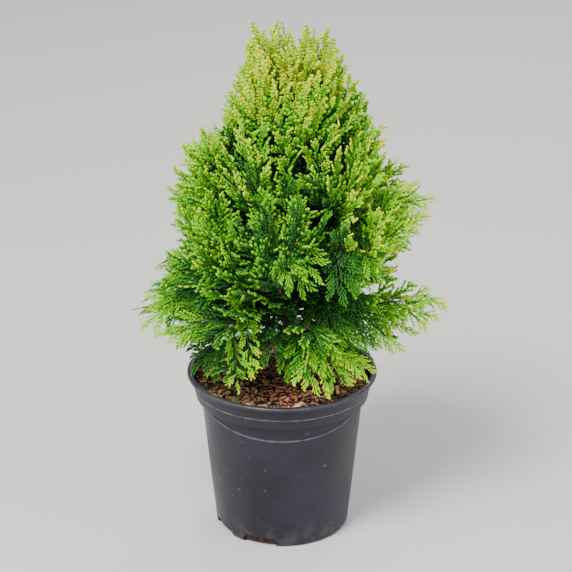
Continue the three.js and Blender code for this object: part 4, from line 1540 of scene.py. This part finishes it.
FRONDS = tuple(Frond(*row) for row in (
    # The wedge at the left, from its top down.
    ((-60, -10, 268), (-124, -10, 284), (0.2, -0.7, 0.7), 0.1, 85, 0.95, GREEN, BRIGHT),
    ((-60, -20, 262), (-122, -25, 266), (0.1, -0.8, 0.6), 0.15, 85, 0.95, DARK, CLEAR),
    ((-55, -25, 256), (-128, -35, 248), (0.0, -0.7, 0.7), 0.25, 85, 0.95, GREEN, BRIGHT),
    ((-60, -25, 254), (-136, -36, 229), (0.0, -0.7, 0.7), 0.35, 95, 0.95, GREEN, SUNNY),
    ((-50, -35, 250), (-104, -56, 234), (-0.1, -0.7, 0.7), 0.35, 85, 0.95, GREEN, BRIGHT),
    # Strips that hang under the wedge.
    ((-50, -45, 262), (-30, -86, 200), (-0.3, -0.8, 0.4), 0.5, 90, 0.7, BRIGHT, SUNNY, PLUMES),
    ((-55, -50, 250), (-42, -86, 182), (-0.5, -0.8, 0.3), 0.5, 80, 0.66, BRIGHT, SUNNY, PLUMES),
    # Dark fronds low at the left.
    ((-46, -25, 225), (-86, -45, 188), (-0.3, -0.6, 0.7), 0.25, 85, 0.95, DARK, GREEN),
    ((-40, -30, 225), (-66, -60, 188), (-0.2, -0.7, 0.7), 0.25, 85, 0.95, DARK, GREEN),
    # Low in the middle.
    ((5, -25, 242), (-39, -75, 245), (-0.2, -0.6, 0.8), 0.1, 70, 0.8, DARK, CLEAR),
    ((4, -15, 236), (7, -72, 190), (0.0, -0.8, 0.5), 0.4, 70, 0.8, GREEN, CLEAR),
    ((0, -20, 238), (-16, -80, 212), (-0.1, -0.8, 0.5), 0.3, 70, 0.8, DARK, GREEN),
    ((4, -15, 232), (24, -76, 196), (0.1, -0.8, 0.5), 0.3, 70, 0.8, DARK, GREEN),
    # The fan over the rim.
    ((16, -25, 232), (66, -89, 178), (0.3, -0.6, 0.7), 0.3, 100, 1.0, BRIGHT, SUNNY),
    ((16, -25, 232), (88, -66, 183), (0.5, -0.5, 0.7), 0.4, 95, 1.0, BRIGHT, SUNNY),
    ((14, -25, 228), (34, -90, 182), (0.2, -0.7, 0.7), 0.3, 90, 0.9, CLEAR, SUNNY),
    # Behind the fan.
    ((30, -20, 232), (86, -38, 198), (0.3, -0.4, 0.8), 0.3, 80, 0.9, DARK, GREEN),
    ((24, -25, 262), (92, -56, 214), (0.2, -0.8, 0.5), 0.3, 75, 0.9, GREEN, CLEAR),
    ((20, -25, 256), (60, -72, 222), (0.2, -0.8, 0.5), 0.3, 65, 0.85, GREEN, CLEAR),
    # The long frond at the right.
    ((67, -14, 240), (167, -27, 261), (0.0, -0.9, 0.45), 0.02, 100, 1.0, BRIGHT, GILT, OPENS, 9),
    ((67, -14, 240), (150, -32, 254), (0.0, -0.9, 0.45), 0.02, 85, 0.55, BRIGHT, SUNNY, PLUMES, 4),
    ((80, -17, 240), (148, -30, 236), (0.0, -0.9, 0.45), 0.1, 70, 0.9, BRIGHT, GILT, OPENS, 9),
    # Under the long frond.
    ((67, -15, 232), (126, -20, 217), (0.1, -0.7, 0.7), 0.15, 85, 0.95, GREEN, SUNNY),
    ((60, -20, 226), (116, -32, 204), (0.1, -0.6, 0.7), 0.25, 80, 0.9, GREEN, SUNNY),
    # Deep inside, low down.
    ((6, 5, 222), (72, 26, 232), (0.1, -0.8, 0.6), 0.2, 85, 1.0, DARK, GREEN),
    ((6, 5, 222), (48, 48, 240), (0.2, -0.7, 0.7), 0.2, 85, 1.0, DARK, GREEN),
    ((6, 5, 226), (82, 12, 226), (0.0, -0.8, 0.6), 0.2, 85, 1.0, DARK, CLEAR),
    ((20, -10, 238), (76, -28, 232), (0.0, -0.8, 0.6), 0.2, 70, 0.9, DARK, CLEAR),
    ((6, 5, 222), (-50, 34, 244), (-0.2, -0.7, 0.7), 0.2, 80, 1.0, DARK, GREEN),
    ((6, 0, 232), (-88, -14, 238), (-0.1, -0.7, 0.7), 0.2, 90, 1.0, DARK, CLEAR),
    # Under the wedge.
    ((-50, -30, 246), (-116, -50, 226), (-0.1, -0.7, 0.7), 0.3, 80, 0.95, GREEN, SUNNY),
    ((-50, -20, 240), (-108, -30, 216), (-0.1, -0.7, 0.7), 0.3, 80, 0.95, GREEN, BRIGHT),
    # Hanging in the middle.
    ((29, -55, 345), (85, -84, 278), (0.3, -0.7, 0.5), 0.5, 100, 0.9, DARK, CLEAR),
    ((26, -55, 340), (58, -99, 282), (0.2, -0.8, 0.4), 0.5, 90, 0.85, DARK, GREEN),
    ((35, -50, 345), (96, -72, 290), (0.4, -0.6, 0.6), 0.5, 95, 0.9, GREEN, BRIGHT),
    ((2, -60, 338), (34, -103, 305), (0.1, -0.8, 0.5), 0.5, 75, 0.85, GREEN, BRIGHT),
    ((2, -60, 334), (8, -104, 300), (0.0, -0.9, 0.4), 0.5, 70, 0.8, CLEAR, BRIGHT),
    ((2, -60, 330), (21, -106, 290), (0.1, -0.9, 0.4), 0.5, 70, 0.8, DARK, CLEAR),
    # Upright in the middle.
    ((0, -45, 290), (7, -72, 402), (0.1, -1.0, 0.1), -0.1, 100, 0.95, CLEAR, BRIGHT, PLUMES),
    ((-4, -45, 290), (-20, -76, 385), (-0.1, -1.0, 0.1), -0.1, 100, 0.95, CLEAR, BRIGHT, PLUMES),
    ((6, -45, 285), (19, -80, 374), (0.1, -1.0, 0.1), -0.1, 90, 0.9, CLEAR, BRIGHT, PLUMES),
    # High at the right.
    ((85, -10, 338), (146, -6, 350), (0.1, -0.8, 0.6), 0.1, 95, 0.9, BRIGHT, GILT, OPENS, 7.5),
    ((80, -10, 330), (136, -12, 334), (0.1, -0.8, 0.6), 0.1, 85, 0.9, BRIGHT, GILT, OPENS, 7.5),
    # The left shoulder.
    ((-60, 0, 350), (-86, -4, 413), (-0.1, -1.0, 0.1), -0.1, 85, 0.9, CLEAR, SUNNY, PLUMES),
    ((-55, 0, 350), (-76, -12, 417), (-0.1, -1.0, 0.1), -0.1, 85, 0.9, CLEAR, SUNNY, PLUMES),
    ((-60, 0, 340), (-95, 4, 398), (-0.1, -1.0, 0.1), -0.1, 85, 0.9, CLEAR, SUNNY, PLUMES),
    # Low at the back.
    ((-4, 8, 220), (-72, 50, 192), (-0.5, 0.5, 0.7), 0.3, 85, 0.95, GREEN, BRIGHT),
    ((0, 12, 224), (-34, 82, 186), (-0.2, 0.7, 0.7), 0.3, 85, 0.95, DARK, CLEAR),
    ((4, 12, 228), (8, 94, 192), (0.0, 0.7, 0.7), 0.35, 90, 0.95, GREEN, BRIGHT),
    ((8, 12, 224), (50, 74, 184), (0.2, 0.7, 0.7), 0.3, 85, 0.95, DARK, CLEAR),
    ((12, 8, 220), (82, 42, 190), (0.5, 0.5, 0.7), 0.3, 85, 0.95, GREEN, BRIGHT),
    # Up the left side.
    ((-34, 10, 350), (-70, 14, 408), (-1.0, 0.1, 0.2), -0.1, 85, 0.9, CLEAR, SUNNY, PLUMES),
    ((-30, 20, 345), (-60, 32, 404), (-0.9, 0.3, 0.2), -0.1, 85, 0.9, CLEAR, SUNNY, PLUMES),
    ((-36, -4, 352), (-68, -8, 410), (-1.0, -0.2, 0.2), -0.1, 85, 0.9, CLEAR, SUNNY, PLUMES),
    ((-50, 10, 290), (-100, 16, 348), (-0.9, 0.1, 0.4), -0.1, 85, 0.9, CLEAR, BRIGHT, PLUMES),
    ((-45, 20, 280), (-94, 38, 330), (-0.9, 0.3, 0.4), -0.1, 85, 0.9, CLEAR, BRIGHT, PLUMES),
))


@dataclass
class Foliage:
    """The crown's foliage: flat fronds low down, plumes that stand on the upper boughs.

    The bays are left without plumes: each is two azimuths and two heights. Under a height at the
    right the plumes reach less far, as under_right says: half its angle, its top and its reach.
    """

    crown: Crown
    azimuth_middle: float = 10.0
    plumes: int = 240
    plume_length: float = 84.0
    plume_bare: float = 92.0
    plume_habit: Habit = Habit(PLUMES, (1.1, 0.75), 5.9, 27, 0.7, 0.03)
    fillers: int = 90
    filler_reach: float = 112.0
    filler_size: float = 1.15
    low_fillers: int = 34
    low_fill_from: float = -20.0
    low_fill_span: float = 220.0
    low_fill_heights: Pair = (222, 266)
    low_fill_reaches: Pair = (62, 86)
    low_habit: Habit = Habit(PLAIN, (1.1, 0.9), 9, 30, 0.8)
    shrinks: tuple[float, ...] = (1.0, 0.8, 0.62)
    limit: float = 1.03
    top: float = 527.0
    rim_radii: tuple[float, ...] = (78, 86, 100, 106)
    rim_heights: tuple[float, ...] = (163, 172, 172, 150)
    lowest_plume: float = 262.0
    highest_plume: float = 516.0
    full_from: Pair = (400.0, 460.0)
    top_fullness: float = 1.2
    crests_from: float = 440.0
    small_from: float = 420.0
    slope_heights: tuple[float, ...] = (240, 270, 300, 340, 400, 440, 480, 520)
    side_slopes: tuple[float, ...] = (0, 8, 18, 34, 56, 68, 78, 87)
    front_slopes: tuple[float, ...] = (4, 26, 48, 62, 72, 78, 82, 87)
    bays: tuple[tuple[float, ...], ...] = ((262, 322, 262, 352), (150, 214, 414, 442))
    under_right: tuple[float, float, float] = (34, 290, 106)
    shown_azimuths: Pair = (215, 325)
    long_frond_half_angle: float = 20.0
    clear_right: float = 92.0
    top_tips: tuple[Place, ...] = (
        (-24, 2, 520), (-11, -10, 523), (1, 6, 522), (30, -6, 518), (41, 4, 515),
        (22, 10, 513), (8, -16, 508), (-6, 16, 514), (34, 16, 506),
    )
    hidden_depth: float = 0.6
    hidden_top: float = 440.0
    dark_top: float = 275.0
    tint_jitter: float = 26.0
    top_from: float = 460.0
    high_from: float = 410.0
    sunlit: Pair = (62.0, 285.0)
    shaded_middle: float = 8.0
    shaded_half: float = 52.0
    middle_from: Pair = (340.0, 395.0)
    side_from: float = 285.0
    sprays: list[Spray] = field(default_factory=list)
    twigs: Gathered = field(default_factory=Gathered)

    def palette(self, tip: Array, height: float) -> Palette:
        """The palette at a tip: brightest at the top and the right, dark up the front's middle.

        Args:
            tip: the tip.
            height: its height, as drawn for the colours.

        Returns:
            The palette.
        """
        if height > self.top_from:
            return Palette.TOP
        sunlit_x, sunlit_height = self.sunlit
        if height > self.high_from or (tip[0] > sunlit_x and height > sunlit_height):
            return Palette.HIGH
        shaded = bool(tip[1] < 0 and abs(tip[0] - self.shaded_middle) < self.shaded_half)
        if height > self.middle_from[shaded]:
            return Palette.MIDDLE
        return Palette.SIDE if height > self.side_from and not shaded else Palette.LOW

    def tints(self, form: Form, tip: Array, depth: float, keys: Keys) -> Tints:
        """The three colours of a spray, by its height, its depth and its own draw.

        Args:
            form: the spray's form.
            tip: where its tip comes.
            depth: how far out its tip is, as a share of the crown's reach.
            keys: the numbers that its draw depends on.

        Returns:
            The colours of its axis, its branchlets and their tips.
        """
        if form is Form.INSIDE or (depth < self.hidden_depth and tip[2] < self.hidden_top):
            return DARK if tip[2] < self.dark_top else HIDDEN
        palette = self.palette(tip, tip[2] + jitter(self.tint_jitter, *keys, 32))
        return palette.deal(draw(*keys, 33), draw(*keys, 31))

    def clears_pot(self, tip: Array) -> bool:
        """Whether a tip stays under the crown's top and clear of the compost and the pot's rim."""
        floor = np.interp(float(np.hypot(tip[0], tip[1])), self.rim_radii, self.rim_heights)
        return bool(floor < tip[2] < self.top)

    def place(self, spray: Spray, keys: Keys, tints: Tints | None) -> None:
        """Adds a spray, made shorter where it would leave the crown, or skipped where it still would.

        Args:
            spray: the spray at its full size.
            keys: the numbers that its colours' draws depend on.
            tints: its three colours, where they aren't drawn by lot.
        """
        for shrink in self.shrinks:
            shorter = replace(spray, size=spray.size * shrink)
            depth = self.crown.fullness(shorter.tip)
            if depth < self.limit and self.clears_pot(shorter.tip):
                shorter.tints = tints or self.tints(spray.form, shorter.tip, depth, keys)
                self.sprays.append(shorter)
                return

    def frond(self, line: Line, start: float, face: Array, habit: Habit, keys: Keys) -> None:
        """Sprays on both sides of a line by turns, and one at its end, all near one plane.

        Args:
            line: the frond's axis, whose end is where the last spray's tip comes.
            start: the share of the line where the first spray stands.
            face: the direction that the frond's flat side is turned to.
            habit: how its sprays stand.
            keys: the numbers that its draws depend on.
        """
        length = line.length()
        end_spray = 0.8 * habit.forms[0].value.length * habit.sizes[1]
        last = max(start + 0.1, 1 - end_spray / length)
        count = max(2, int((last - start) * length / habit.spacing))
        for j in range(count + 1):
            own = (*keys, j)
            share = j / count
            t = mix(start, last, share)
            root, tangent = line.at(t), line.way(t)
            normal = facing(tangent, face, 0)
            side = np.cross(normal, tangent) * (1 if j % 2 else -1)
            angle = np.radians(habit.spread + jitter(8, *own, 1)) if j < count else 0.0
            out = tangent * np.cos(angle) + side * np.sin(angle) + normal * jitter(0.16, *own, 2)
            ahead = unit(out)
            size = mix(*habit.sizes, share) * (1 + jitter(0.14, *own, 3))
            flat = facing(ahead, normal, jitter(habit.roll, *own, 4))
            outer = int(share + jitter(0.15, *own, 5) > 0.5)
            droop, sway = habit.droop + jitter(0.06, *own, 21), jitter(0.1, *own, 22)
            spray = Spray(habit.forms[j % len(habit.forms)], root, ahead, flat, size, droop, sway)
            self.place(spray, own, habit.tints[outer] if habit.tints else None)

    def twig(self, line: Line, last: float, radii: Pair, across: Array) -> None:
        """Adds a twig: a five-sided tube along a line, up to the share last of it."""
        share = np.linspace(0, last, 9)
        points, faces, around = tube(line.at(share), line.way(share), np.linspace(*radii, 9), across, 5)
        along = np.concatenate([np.repeat(share * line.length(), 5), [0, line.length()]])
        self.twigs.add(points, faces, around, along)

    def open_bough(self, bough: Bough) -> None:
        """A low bough: one flat frond along its stem, and smaller fronds that leave it on each side."""
        line, shed = bough.line, heading(bough.azimuth, 48)
        left, right = self.shown_azimuths
        shown = left < bough.azimuth % 360 < right
        habit = Habit(FANS, (0.95, 0.75), 7.5 if shown else 5.4, 36)
        self.frond(line, max(bough.entry, 0.42), shed, habit, bough.keys)
        side_fronds = 0 if shown else 5 if bough.tier.name == "lower" else 4
        for k in range(side_fronds):
            self.side_frond(bough, mix(max(bough.entry, 0.36), 0.66, (k + 0.5) / side_fronds), shed, k)

    def side_frond(self, bough: Bough, t: float, shed: Array, k: int) -> None:
        """A frond at the side of a low bough, unless it would hide the long frond at the right.

        Args:
            bough: the bough.
            t: where the frond leaves it, as a share of its line.
            shed: the direction that the bough's own frond faces.
            k: the frond's number, which also gives its side.
        """
        own = (*bough.keys, k)
        start, tangent = bough.line.at(t), bough.line.way(t)
        level = bough.across * (1 if k % 2 else -1)
        out = unit(tangent * 0.75 + level * 0.65 + UP * jitter(0.35, *own, 41))
        far = unit(tangent * 0.8 + level * 0.45 + UP * (-0.12 + jitter(0.3, *own, 42)))
        end = start + unit(out + far) * (mix(74, 50, t) * (1 + jitter(0.12, *own, 43)))
        if end[0] > self.clear_right:
            return
        branch = Line.between(start, out, end, far)
        face = turned_about(shed, unit(tangent), jitter(0.7, *own, 44))
        self.frond(branch, 0.25, face, Habit(FANS, (0.85, 0.7), 5.6, 34, 0.4), (*bough.keys, k + 50))
        self.twig(branch, 0.75, (0.85, 0.45), UP)

    def named_fronds(self) -> None:
        """The fronds that the plant shows low in front and at its sides, each from its own limb."""
        for number, frond in enumerate(FRONDS):
            start = self.nearest(np.array(frond.root, float))
            end = np.array(frond.tip, float)
            straight = unit(end - start)
            out, arrive = unit(straight + UP * frond.arch), unit(straight - UP * frond.arch)
            line = Line.between(start, out, end, arrive)
            face = unit(np.array(frond.face, float))
            bare = max(0.12, 1 - frond.leafy / line.length())
            sizes, tints = (frond.size, 0.72 * frond.size), (frond.inner, frond.outer)
            habit = Habit(frond.forms, sizes, frond.spacing, 32, 0.3, 0.05, tints)
            self.frond(line, bare, face, habit, (11, number))
            self.twig(line, 0.78, (1.0, 0.5), face)

    def nearest(self, place: Array) -> Array:
        """The point of the limbs that is nearest to a place."""
        shares = np.linspace(0, 1, 50)
        limbs = [self.crown.trunk_at(shares)]
        limbs += [bough.line.at(shares * bough.stem_to) for bough in self.crown.boughs]
        points = np.concatenate(limbs)
        return points[int(np.linalg.norm(points - place, axis=1).argmin())]

    def slope_at(self, azimuth: float, height: float) -> float:
        """How steeply the crown's outer tips point up, in degrees, blended from side to front."""
        side = float(np.interp(height, self.slope_heights, self.side_slopes))
        front = float(np.interp(height, self.slope_heights, self.front_slopes))
        return mix(side, front, float(np.sin(np.radians(azimuth)) ** 2))

    def carrier(self, behind: Array) -> tuple[Bough, float]:
        """The dense bough that comes nearest to a point, and the share of its line where it does.

        A point further along a bough counts as a little further away.
        """
        stems = [bough for bough in self.crown.boughs if bough.tier.dense]
        shares = np.linspace(0.0, 1, 40)
        costs = [np.linalg.norm(stem.line.at(shares) - behind, axis=1) + 25 * shares for stem in stems]
        best = int(np.argmin([cost.min() for cost in costs]))
        return stems[best], min(float(shares[int(costs[best].argmin())]), stems[best].stem_to)

    def plume(self, end: Array, slope: float, keys: Keys, forms: Forms, size: float) -> None:
        """A plume: a frond on a line from the nearest dense bough to a given tip.

        Args:
            end: where its tip comes.
            slope: the slope of its tip, in degrees.
            keys: the numbers that its draws depend on.
            forms: the forms that its sprays take by turns.
            size: its sprays' size.
        """
        azimuth = float(np.degrees(np.arctan2(end[1], end[0] - self.azimuth_middle)))
        arrive = heading(azimuth + jitter(16, *keys, 11), slope + jitter(9, *keys, 12))
        stem, t = self.carrier(end - arrive * self.plume_length)
        start = stem.line.at(t)
        line = Line.between(start, unit(stem.line.way(t) + unit(end - start)), end, arrive)
        outward = heading(azimuth, 10)
        side = np.cos(np.radians(azimuth)) ** 2
        face = facing(arrive, outward, 0.9 * side + jitter(1.0, *keys, 13))
        bare = max(0.12, 1 - self.plume_bare / line.length())
        first, last = self.plume_habit.sizes
        habit = replace(self.plume_habit, forms=forms, sizes=(first * size, last * size))
        self.frond(line, bare, face, habit, keys)
        self.twig(line, 0.76, (0.85, 0.35), outward)

    def heights(self, count: int) -> Array:
        """Heights that share out the crown's outline evenly, and the full top more closely.

        They are read from the running sum of the crown's width over a column of rows.
        """
        rows = np.linspace(self.lowest_plume, self.highest_plume, 400)
        sides = np.stack([self.crown.reach(azimuth, rows) for azimuth in (0, 90, 180, 270)], -1)
        wide = self.crown.around(sides, 45)
        spread = np.cumsum(wide * (1 + self.top_fullness * smooth_step(rows, *self.full_from)))
        spread = (spread - spread[0]) / (spread[-1] - spread[0])
        return np.interp((np.arange(count) + 0.5) / count, spread, rows)

    def outer_plumes(self) -> None:
        """Plumes spread evenly over the upper crown's outline by the golden angle, and its top tips."""
        half_angle, bay_top, bay_reach = self.under_right
        for i, height in enumerate(self.heights(self.plumes).tolist()):
            azimuth = (i * GOLDEN_ANGLE + jitter(5, i, 14)) % 360
            if any(left < azimuth < right and low < height < high for left, right, low, high in self.bays):
                continue
            out = self.crown.reach(azimuth, height) * (0.985 - 0.07 * draw(i, 15))
            if height < bay_top and abs((azimuth + 180) % 360 - 180) < half_angle:
                out = min(out, bay_reach)
            forms = PLUMES if height < self.crests_from else CRESTS
            size = 1.0 if height < self.small_from else 0.9
            self.plume(spot(azimuth, out, height), self.slope_at(azimuth, height), (7, i), forms, size)
        for i, tip in enumerate(self.top_tips):
            self.plume(np.array(tip, float), 84, (8, i), CRESTS, 0.85)

    def inner_plumes(self) -> None:
        """Plain sprays deep inside, low behind the open fronds and higher behind the plumes."""
        for i in range(self.low_fillers):
            azimuth = self.low_fill_from + (i * GOLDEN_ANGLE) % self.low_fill_span
            height = mix(*self.low_fill_heights, (i + 0.5) / self.low_fillers)
            rise = (height - self.crown.soil_top) / (self.crown.tip_height - self.crown.soil_top)
            start = self.crown.trunk_at(rise - 0.03)
            end = spot(azimuth, mix(*self.low_fill_reaches, draw(i, 17)), height)
            line = Line.between(start, heading(azimuth, 30), end, heading(azimuth))
            self.frond(line, 0.2, UP, self.low_habit, (10, i))
        for i, level in enumerate(self.heights(self.fillers).tolist()):
            height = level * 0.88 + 2
            azimuth = (i + 0.5) * GOLDEN_ANGLE
            out = min(self.crown.reach(azimuth, height), self.filler_reach) * (0.7 - 0.2 * draw(i, 16))
            end = spot(azimuth, out, height)
            self.plume(end, self.slope_at(azimuth, height), (9, i), PLAIN, self.filler_size)

    def build(self) -> None:
        """Grows the foliage and writes it, with one piece or a few for each colour."""
        for bough in self.crown.boughs:
            ahead = abs((bough.azimuth + 180) % 360 - 180)
            if not bough.tier.dense and ahead > self.long_frond_half_angle:
                self.open_bough(bough)
        self.named_fronds()
        self.outer_plumes()
        self.inner_plumes()
        self.write()
        shoot = BarkFinish("bark_twig", (0.03, 0.05, 0.012), (0.07, 0.11, 0.025), (0.12, 0.17, 0.04), 3.0)
        self.twigs.write("twigs", "bark", shoot.make())

    def write(self) -> None:
        """Writes the scales colour by colour, in pieces small enough for the export."""
        scales: dict[Tint, list[Array]] = {tint: [] for tint in Tint}
        for form in Form:
            self.gather(form, scales)
        for tint, parts in scales.items():
            points = np.concatenate(parts)
            material = tint.value.make()
            count = int(np.ceil(len(SCALE_FACES) * len(points) / LARGEST_PIECE))
            for number, chosen in enumerate(np.array_split(points, count)):
                mesh, faces = copies(chosen, SCALE_FACES)
                name = f"{tint.value.name}_{number + 1}"
                write_piece(name, mesh, faces, material)
        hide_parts(*[bough.node("foliage") for bough in self.crown.boughs])
        LOG.info("foliage: %d sprays", len(self.sprays))

    def gather(self, form: Form, scales: dict[Tint, list[Array]]) -> None:
        """Sets every spray of one form in its place and deals its scales out by colour.

        A spray bends by the square of the distance from its root, down by its droop and aside by
        its sway.

        Args:
            form: the form.
            scales: the lists that the placed scales join, by colour.
        """
        chosen = [spray for spray in self.sprays if spray.form is form]
        solid, age = form.value.solid()
        vectors = np.array([(spray.root, spray.ahead, spray.face) for spray in chosen])
        root, ahead, face = vectors.swapaxes(0, 1)[:, :, None, None]
        numbers = np.array([(spray.size, spray.droop, spray.sway) for spray in chosen])
        size, droop, sway = numbers.T[:, :, None, None, None]
        side = np.cross(face, ahead)
        forward, aside, above = (solid[None, ..., k : k + 1] for k in range(3))
        bend = forward * forward / form.value.length
        moved = ahead * forward + side * (aside + sway * bend) + face * (above - droop * bend)
        placed = root + size * moved
        for tint in Tint:
            for years in range(3):
                having = [spray.tints[years] is tint for spray in chosen]
                scales[tint].append(placed[having][:, age == years].reshape(-1, 6, 3))


@dataclass(frozen=True)
class Lamp:
    """One square soft light: where it stands, in metres, and its size, power and colour."""

    name: str
    place: Place
    size: float
    power: float
    colour: Colour


@dataclass
class Studio:
    """The camera, the pale floor and the soft light. Places are in metres here."""

    camera_place: Place = (0.004, -2.005, 1.098)
    camera_pitch: float = 67.23
    focal_length: float = 138.46
    sensor_width: float = 36.0
    floor_half: float = 8000.0
    ground: Finish = PlainFinish("floor", (0.72, 0.71, 0.69), 0.9)
    sky: Colour = (0.9, 0.95, 1.0)
    sky_strength: float = 0.5
    target_height: float = 0.28
    lamps: tuple[Lamp, ...] = (
        Lamp("key", (-0.9, -1.3, 2.5), 1.0, 110.0, (1.0, 0.98, 0.94)),
        Lamp("fill", (1.7, -0.9, 1.5), 1.6, 18.0, (0.92, 0.96, 1.0)),
        Lamp("back", (0.5, 1.8, 1.9), 1.4, 26.0, (1.0, 0.98, 0.95)),
    )

    def build(self) -> None:
        """Makes the camera, the lights and the floor."""
        lens = bpy.data.cameras.new("camera")
        lens.lens = self.focal_length
        lens.sensor_width = self.sensor_width
        camera = add_object("camera", lens)
        camera.location = self.camera_place
        camera.rotation_euler = (np.radians(self.camera_pitch), 0, 0)
        bpy.context.scene.camera = camera
        for lamp in self.lamps:
            self.light(lamp)
        world = bpy.data.worlds.new("sky")
        world.use_nodes = True
        background = world.node_tree.nodes["Background"]
        background.inputs["Color"].default_value = (*self.sky, 1)
        background.inputs["Strength"].default_value = self.sky_strength
        bpy.context.scene.world = world
        self.floor()

    def light(self, lamp: Lamp) -> None:
        """Adds a soft light that shines at the middle of the plant."""
        light = bpy.data.lights.new(lamp.name, "AREA")
        light.size = lamp.size
        light.energy = lamp.power
        light.color = lamp.colour
        holder = add_object(lamp.name, light)
        holder.location = lamp.place
        target = np.array([0, 0, self.target_height]) - np.array(lamp.place)
        level = float(np.hypot(target[0], target[1]))
        holder.rotation_euler = (np.arctan2(level, -target[2]), 0, np.arctan2(-target[0], target[1]))

    def floor(self) -> None:
        """Adds the plain pale floor."""
        half = self.floor_half
        corners = np.array([[-half, -half, 0], [half, -half, 0], [half, half, 0], [-half, half, 0]])
        floor = plain_object("floor", corners, [[0, 1, 2, 3]])
        floor.data.materials.append(self.ground.make())


def main() -> None:
    """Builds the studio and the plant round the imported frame."""
    logging.basicConfig(level=logging.INFO, format="%(message)s")
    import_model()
    Studio().build()
    crown = Crown()
    pot = Pot()
    pot.build()
    Compost().build(crown, pot)
    Limbs(crown).build()
    Foliage(crown).build()


if __name__ == "__main__":
    main()
